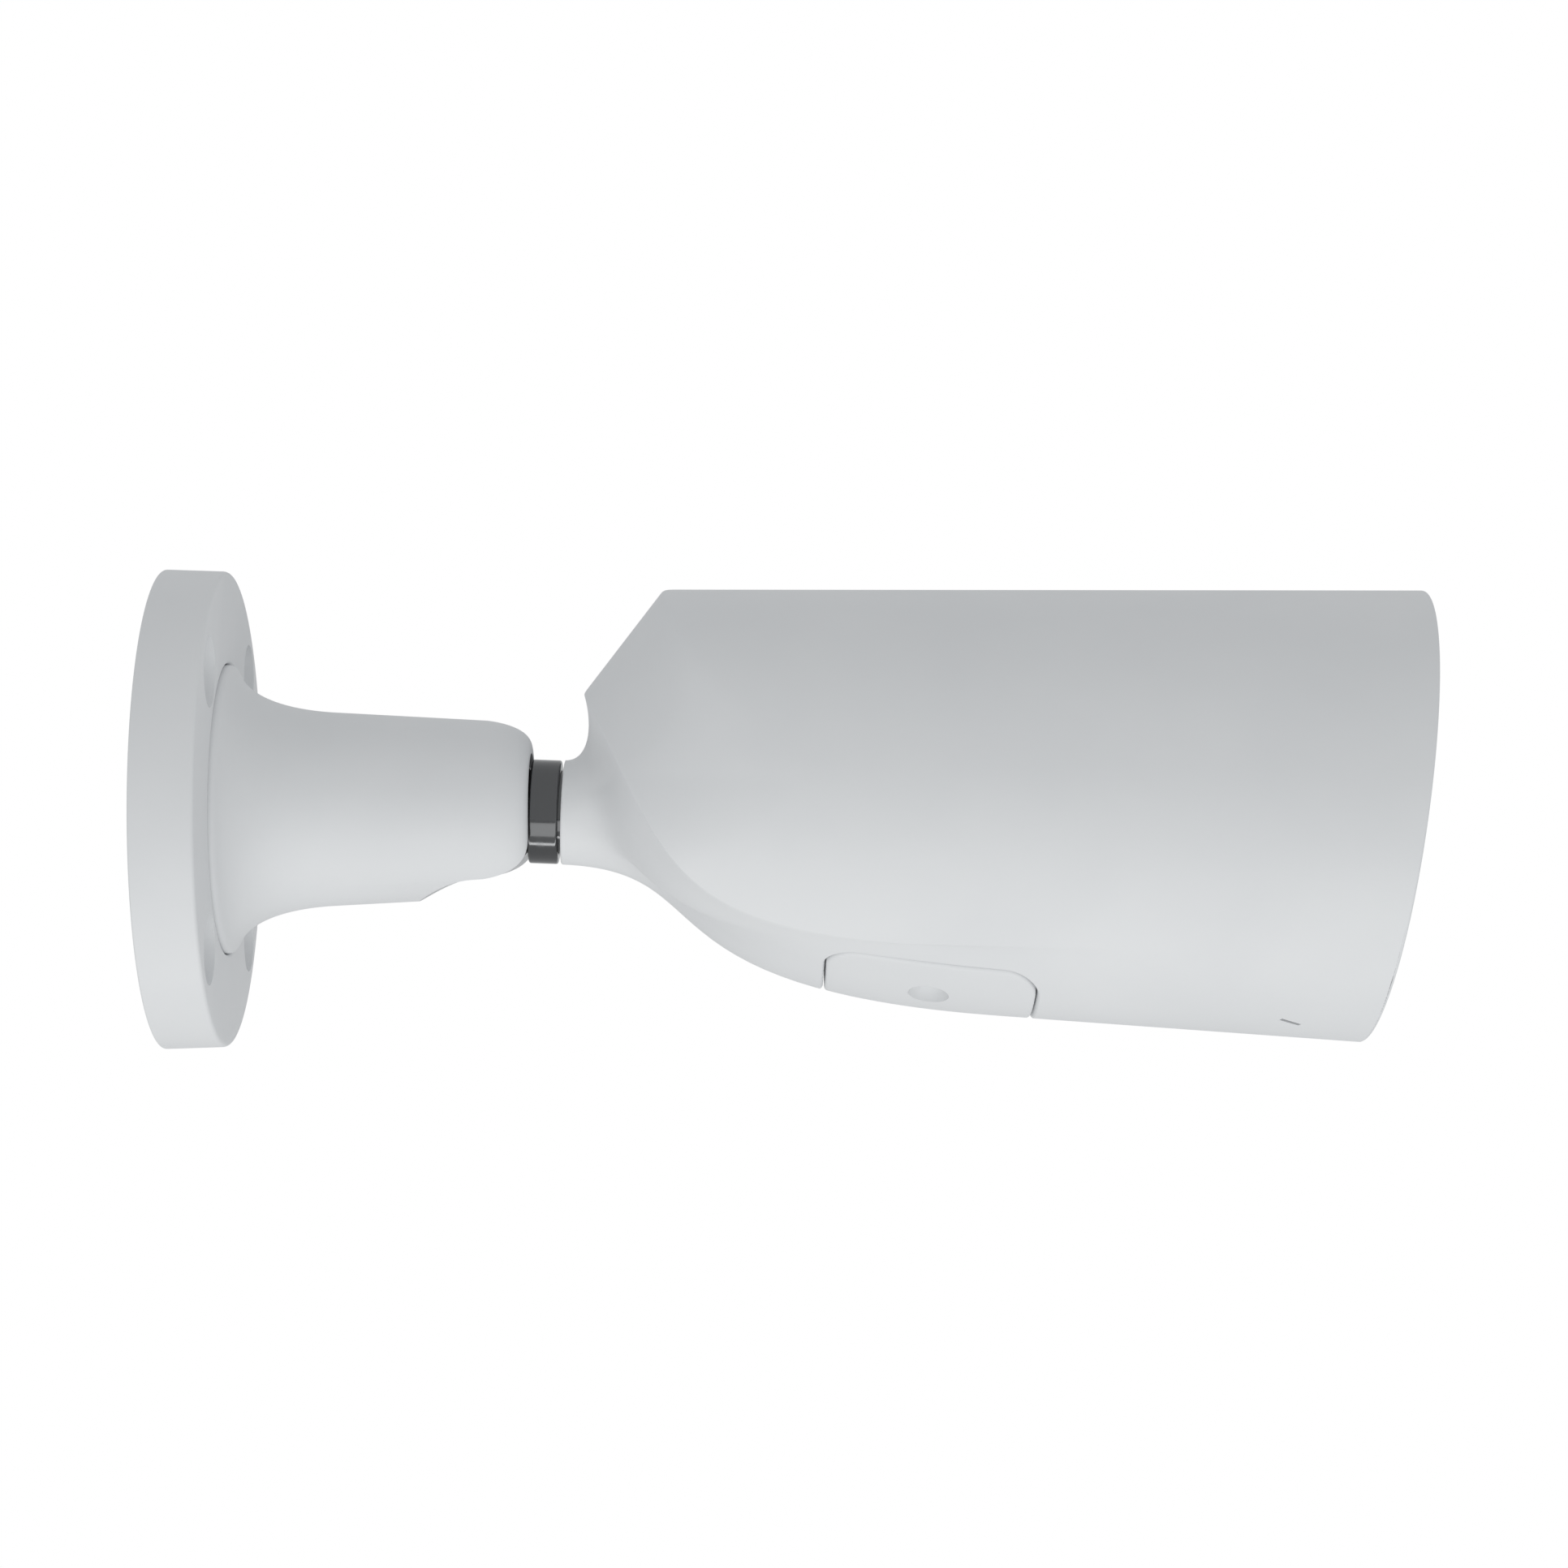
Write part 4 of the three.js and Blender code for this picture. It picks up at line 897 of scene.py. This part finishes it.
def cavity(belly):
    """
    The hollow meant for the housing, with a thicker frame round the service bay.

    It has no effect yet. Its two turned pieces are made in LOCAL and stay open at their poles, because
    to_object joins points within MERGE only. Blender skips every cut that uses an open mesh, so the housing
    stays solid inside. report.md gives the remedy under its known fault.
    """
    start, end, far = 38, BEZEL_S0, 80
    outline = [(start, 0), (start, hood_r(start) - HOOD_WALL), (end, hood_r(end) - HOOD_WALL), (end, 0)]
    cone = turned("cone_hollow", outline, LOCAL, 160, (0, 0, HOOD_RISE))
    centre, tube_r = REAR_OFFSET + REAR_R, REAR_R - HOOD_WALL
    tube = turned("rear_hollow", [(-far, 0), (-far, tube_r), (far, tube_r), (far, 0)], LOCAL, 96)
    moved(tube, Matrix.Rotation(-REAR_LEAN, 4, "Y"))
    ahead = block("ahead", (0, -far, -260), (260, far, 260), LOCAL)
    moved(ahead, Matrix.Rotation(math.pi / 2 - REAR_LEAN, 4, "Y"))
    boolean(tube, [ahead], "UNION")
    moved(tube, Matrix.Translation((math.sin(REAR_LEAN) * centre, 0, -math.cos(REAR_LEAN) * centre)))
    boolean(cone, [tube], "INTERSECT")
    return boolean(cone, [above_belly(belly)], "INTERSECT")


def above_belly(belly):
    """All that lies above the underside's wall, as a block whose floor follows the underside."""
    low_s, high_s, half_y, top, bottom = 34, 164, 50, 75, -60
    across = [-half_y + k for k in range(2 * half_y + 1)]
    along = [low_s + k for k in range(high_s - low_s + 1)]
    frame_s = (COVER["s0"] - BAY_FRAME, COVER["s1"] + BAY_FRAME)
    vertices, faces = [], []
    for s in along:
        for y in across:
            ground = belly.height(s, y)
            in_frame = frame_s[0] < s < frame_s[1] and abs(y) < COVER["half_y"] + BAY_FRAME
            depth = BAY_FRAME_DEPTH if in_frame else BELLY_WALL
            vertices.append((s, y, bottom if ground is None else min(top - 5, ground + depth)))
    count = len(across)
    vertices += [(s, y, top) for s in along for y in across]
    roof = len(along) * count
    for i in range(len(along) - 1):
        for k in range(count - 1):
            a, b = i * count + k, i * count + k + 1
            c, d = b + count, a + count
            faces += [(a, b, c, d), (roof + d, roof + c, roof + b, roof + a)]
    edge = list(range(count))
    edge += [i * count + count - 1 for i in range(1, len(along))]
    edge += [(len(along) - 1) * count + k for k in range(count - 2, -1, -1)]
    edge += [i * count for i in range(len(along) - 2, 0, -1)]
    faces += [(a, b, roof + b, roof + a) for a, b in zip(edge, edge[1:] + edge[:1])]
    return to_object("above_belly", vertices, faces, LOCAL)


def pocket_tool(belly):
    """The cover's pocket, with a small chamfer round its mouth."""
    steps = [(COVER_GAP + 1.2, -2.0), (COVER_GAP + 0.6, -0.12), (COVER_GAP + 0.2, 0.25), (COVER_GAP, 0.7)]
    steps += [(COVER_GAP, POCKET_DEPTH)]
    mouth = grown(COVER, 0)
    loops = [[(s, y, -70) for s, y in grown(COVER, COVER_GAP + 1.2)]]
    loops += [belly.loop(grown(COVER, by), depth) for by, depth in steps]
    centre = ((COVER["s0"] + COVER["s1"]) / 2, 0)
    for share in (0.85, 0.7, 0.55, 0.4, 0.25, 0.1):
        loops.append(belly.loop([mix(centre, p, share) for p in mouth], POCKET_DEPTH))
    return loft("pocket", loops, LOCAL)


def prism(name, outline, low, high):
    return loft(name, [[(s, y, h) for s, y in outline] for h in (low, high)], LOCAL)


def screw_place(belly, side):
    """Matrix that stands a piece made along +X on the underside at a cover screw, pointing up."""
    y = side * (COVER_SCREW_Y - DISH_LEAN)
    place = Matrix.Translation((COVER_SCREW_S, y, belly.height(COVER_SCREW_S, y) - 1))
    return place @ Matrix.Rotation(-math.pi / 2, 4, "Y")


def dish_place(belly, side, step=0.5):
    """Matrix that stands a piece made along +X square to the underside at a cover screw, pointing inwards."""
    s, y = COVER_SCREW_S, side * COVER_SCREW_Y
    along_s = (belly.height(s + step, y) - belly.height(s - step, y)) / (2 * step)
    along_y = (belly.height(s, y + step) - belly.height(s, y - step)) / (2 * step)
    inwards = Vector((-along_s, -along_y, 1))
    turn = Vector((1, 0, 0)).rotation_difference(inwards)
    return Matrix.Translation((s, y, belly.height(s, y))) @ turn.to_matrix().to_4x4()


def microphone_slot():
    """The tool for the microphone's slot, which lies slantwise low on the hood's near side."""
    half_length, half_width, depth = 2.3, 0.45, 12
    low, high = (-half_length, -half_width, -depth), (half_length, half_width, depth)
    tool = block("slot", low, high, LOCAL)
    moved(tool, Matrix.Translation((0, 0, -hood_r(MICROPHONE_S))) @ Matrix.Rotation(MICROPHONE_TURN, 4, "Z"))
    place = Matrix.Translation((MICROPHONE_S, 0, HOOD_RISE))
    return moved(tool, place @ Matrix.Rotation(MICROPHONE_ANGLE, 4, "X"))


def drain_tool(belly):
    """The tool for the shallow drain recess in the bottom of the hood, with a chamfered mouth."""
    s0, s1, half_y, corner = DRAIN.values()
    lip = 0.4
    mouth = rounded_rectangle(s0 - lip, s1 + lip, half_y + lip, corner + lip, 6, 4)
    recess = rounded_rectangle(s0, s1, half_y, corner, 6, 4)
    loops = [belly.loop(mouth, -0.3), belly.loop(recess, 0.35), belly.loop(recess, 0.6)]
    return loft("drain", loops, LOCAL)


def housing(belly, skin):
    tools = [cavity(belly), pocket_tool(belly), prism("bay", grown(BAY, 0), -60, -20)]
    tools += [drain_tool(belly), microphone_slot()]
    for side in (-1, 1):
        pilot = turned("pilot", [(0, 0), (0, COVER_PILOT_R), (12, COVER_PILOT_R), (12, 0)], LOCAL, 32)
        tools.append(moved(pilot, screw_place(belly, side)))
    boolean(skin, tools)
    moved(skin, AIMED)
    return dress(skin, "camera", "white_coat", "housing")


# ---- service cover -------------------------------------------------------------------------------
def rolled_edge(radius, steps=5):
    """(growth, depth) pairs of a quarter-round edge, from the side wall to the face."""
    pairs = []
    for k in range(steps + 1):
        a = math.pi / 2 * k / steps
        pairs.append((-radius * (1 - math.cos(a)), radius * (1 - math.sin(a)) + COVER_SINK))
    return pairs


def service_cover(belly):
    """A plate that follows the underside, with rolled edges and two dished screw holes."""
    centre = ((COVER["s0"] + COVER["s1"]) / 2, 0)
    outline = grown(COVER, -COVER_ROLL)
    inner = [[mix(centre, p, share) for p in outline] for share in COVER_RINGS]
    loops = [belly.loop(ring, COVER_THICK) for ring in reversed(inner)]
    loops += [belly.loop(grown(COVER, -0.2), COVER_THICK), belly.loop(grown(COVER, 0), COVER_THICK - 0.2)]
    loops += [belly.loop(grown(COVER, by), depth) for by, depth in rolled_edge(COVER_ROLL)]
    loops += [belly.loop(ring, COVER_SINK) for ring in inner]
    cover = loft("service_cover", loops, LOCAL)
    boss_outline = [(1.8, 0), (1.8, COVER_BOSS_R), (4.4, COVER_BOSS_R), (4.4, 0)]
    bore_outline = [(3.3, 0), (3.3, 1.9), (3.95, 1.9), (3.95, COVER_PILOT_R), (7, COVER_PILOT_R), (7, 0)]
    dish_curve = curve([(-0.05, 4.05), (0.9, 3.7), (1.9, 3.1), (2.8, 1.9)], 8)
    dish_outline = [(-1, 0), (-1, 4.6), *dish_curve, (2.8, 0)]
    for side in (-1, 1):
        upright = screw_place(belly, side)
        boolean(cover, [moved(turned("boss", boss_outline, LOCAL, 48), upright)], "UNION")
        boolean(cover, [moved(turned("bore", bore_outline, LOCAL, 48), upright)])
        boolean(cover, [moved(turned("dish", dish_outline, LOCAL, 64), dish_place(belly, side))])
    moved(cover, AIMED)
    return dress(cover, "access_cover", "white_coat", "access_cover")


def cover_fasteners(belly):
    head = [(3.4, 0), (3.4, 1.6, 0.2), (3.6, 1.8, 0.1), (3.9, 1.8)]
    shank = [(3.9, 1.5), (11, 1.5, 0.3), (11, 0)]
    for number, (word, side) in enumerate((("near", -1), ("far", 1)), 1):
        screw = turned(f"cover_screw_{word}", profile(*head, *shank), LOCAL, 64)
        boolean(screw, [moved(socket_tool(3, 3.75, 1.2, (0, 0, 0)), Matrix.Scale(1 / MM, 4))])
        moved(screw, AIMED @ screw_place(belly, side))
        dress(screw, "access_cover", "steel", f"cover_screw_{number}")


# ---- front ---------------------------------------------------------------------------------------
def centred(name, outline, segments=128, offset=(0, 0)):
    """A piece turned about the hood's axis, or about one beside it."""
    return turned(name, outline, AIMED, segments, (0, offset[0], HOOD_RISE + offset[1]))


def front_parts():
    outer, inner, seat = hood_r(BEZEL_S0) - HOOD_WALL - GAP, WINDOW_R - 4, WINDOW_S - GAP
    seal_back = seat - 1.3
    bezel = profile(
        (BEZEL_S0, inner, 0.3),
        (BEZEL_S0, outer, 0.4),
        (BEZEL_S1, outer, 0.6),
        (BEZEL_S1, WINDOW_R + 0.9, 0.3),
        (BEZEL_S1 - 1.0, WINDOW_R + GAP, 0.2),
        (seat - 1.6, WINDOW_R + GAP, 0),
        (seat - 1.6, inner, 0.3),
    )
    dress(centred("bezel", bezel, 192), "camera", "black_plastic", "front_bezel")
    s0, s1 = WINDOW_S, WINDOW_S + WINDOW_THICK
    window = profile((s0, 0), (s0, WINDOW_R, 0.3), (s1, WINDOW_R, 0.4), (s1, 0))
    dress(centred("window", window, 192), "camera", "window_glass", "front_window")
    seal = profile((seal_back, 34.4, 0.4), (seal_back, 37.4, 0.4), (seat, 37.4, 0.4), (seat, 34.4, 0.4))
    dress(centred("seal", seal), "camera", "seal_rubber", "window_seal")
    baffle = profile((152, 15.6, 0.2), (152, 18, 0.2), (seat, 18, 0.6), (seat, 15.6, 0.6))
    dress(centred("baffle", baffle), "camera", "seal_rubber", "light_baffle")
    dome = curve([(158.5, 2.9), (159.9, 2.7), (160.8, 1.4), (160.9, 0)], 10)
    lamp = [(LAMP_BACK, 0), (LAMP_BACK, 2.9), *dome]
    for number in range(1, LAMP_COUNT + 1):
        angle = (number - 0.5) * 2 * math.pi / LAMP_COUNT
        place = (LAMP_RING * math.cos(angle), LAMP_RING * math.sin(angle))
        dress(centred(f"lamp_{number}", lamp, 48, place), "camera", "lamp_plastic", f"ir_led_{number}")
    dome = curve([(157.4, 1.6), (158, 1.4), (158.4, 0.8), (158.4, 0)], 6)
    eye = [(LAMP_BACK, 0), (LAMP_BACK, 1.6), *dome]
    dress(centred("light_eye", eye, 32, (0, -LAMP_RING)), "camera", "lens_glass", "light_sensor")


def lens():
    barrel = profile(
        (106, 7, 0.2),
        (106, 12, 0.4),
        (124, 12, 0),
        (124, 13.3, 0.3),
        (148, 13.3, 0.2),
        (148, 15.2, 0.2),
        (150.2, 15.2, 0),
        (158, 15.2, 0.4),
        (158, 12.6, 0.2),
        (156.6, 12.2, 0),
        (156.6, 11.9, 0),
        (155, 11.7, 0),
        (155, 11.4, 0),
        (150, 11, 0),
        (112, 7, 0),
    )
    dress(centred("barrel", barrel, 128), "camera", "black_plastic", "lens_barrel")
    front = [(151.5, 0), (151.5, 10.6), *curve([(154, 10.6), (155.6, 8.4), (157, 4.4), (157, 0)], 16)]
    dress(centred("front_element", front, 96), "camera", "lens_glass", "lens_front_element")
    rear = [*curve([(107.6, 0), (106.4, 2), (106.4, 5), (107, 6.6)], 8), (110, 6.6)]
    rear += curve([(110, 6.6), (111.4, 5), (111.6, 2), (111.6, 0)], 8)[1:]
    dress(centred("rear_element", rear, 64), "camera", "lens_glass", "lens_rear_element")


# ---- scene ---------------------------------------------------------------------------------------
def area_light(name, place, target, size, power, color):
    data = bpy.data.lights.new(name, "AREA")
    data.shape = "RECTANGLE"
    data.size, data.size_y = size
    data.energy = power
    data.color = color
    light = bpy.data.objects.new(name, data)
    light.location = place
    light.rotation_euler = (Vector(target) - Vector(place)).to_track_quat("-Z", "Y").to_euler()
    bpy.context.scene.collection.objects.link(light)


def studio():
    """A pale floor well below the camera, a white surround and soft light from the front and below."""
    scene = bpy.context.scene
    scene.view_settings.view_transform = "Standard"
    world = bpy.data.worlds.new("studio")
    scene.world = world
    world.use_nodes = True
    nodes, links = world.node_tree.nodes, world.node_tree.links
    lighting = nodes["Background"]
    lighting.inputs["Color"].default_value = (0.975, 0.99, 1, 1)
    lighting.inputs["Strength"].default_value = 0.62
    seen = nodes.new("ShaderNodeBackground")
    seen.inputs["Color"].default_value = (1, 1, 1, 1)
    seen.inputs["Strength"].default_value = 1.0
    path = nodes.new("ShaderNodeLightPath")
    choice = nodes.new("ShaderNodeMixShader")
    links.new(path.outputs["Is Camera Ray"], choice.inputs[0])
    links.new(lighting.outputs[0], choice.inputs[1])
    links.new(seen.outputs[0], choice.inputs[2])
    links.new(choice.outputs[0], nodes["World Output"].inputs["Surface"])

    target, color = (0.12, 0, 0), (1, 1, 0.99)
    area_light("key", (0.12, -0.61, -0.52), target, (1.0, 0.45), 1.75, color)
    area_light("strip", (0.12, -0.15, -0.6), target, (0.9, 0.07), 0.75, color)

    middle = (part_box("base_plate")[0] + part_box("housing")[1]) / 2
    loops = [[(middle.x + r * math.cos(a), r * math.sin(a), z) for a in angles()] for r, z in FLOOR_LOOPS]
    floor = loft("floor", loops)
    floor.data.transform(Matrix.Scale(1 / MM, 4))
    shade(floor)
    floor.data.materials.append(moulded("floor_paint", (0.8, 0.8, 0.8), 0.6, 0.005, 0.01))


def camera():
    """Side on, level, from well back, aimed a little ahead of the middle."""
    data = bpy.data.cameras.new("camera")
    data.lens = 86.5
    data.sensor_width = 36
    data.sensor_fit = "HORIZONTAL"
    view = bpy.data.objects.new("camera", data)
    view.location = (0.1223, -0.748, 0.005)
    view.rotation_euler = (math.pi / 2, 0, 0)
    bpy.context.scene.collection.objects.link(view)
    bpy.context.scene.camera = view


camera()
studio()
carry_over()
wall_plate()
entry_gasket()
arm()
retaining_parts()
ball_and_stem()
collar()
whole_skin = skin_solid("housing_shell")
underside = Belly(whole_skin)
housing(underside, whole_skin)
service_cover(underside)
cover_fasteners(underside)
front_parts()
lens()
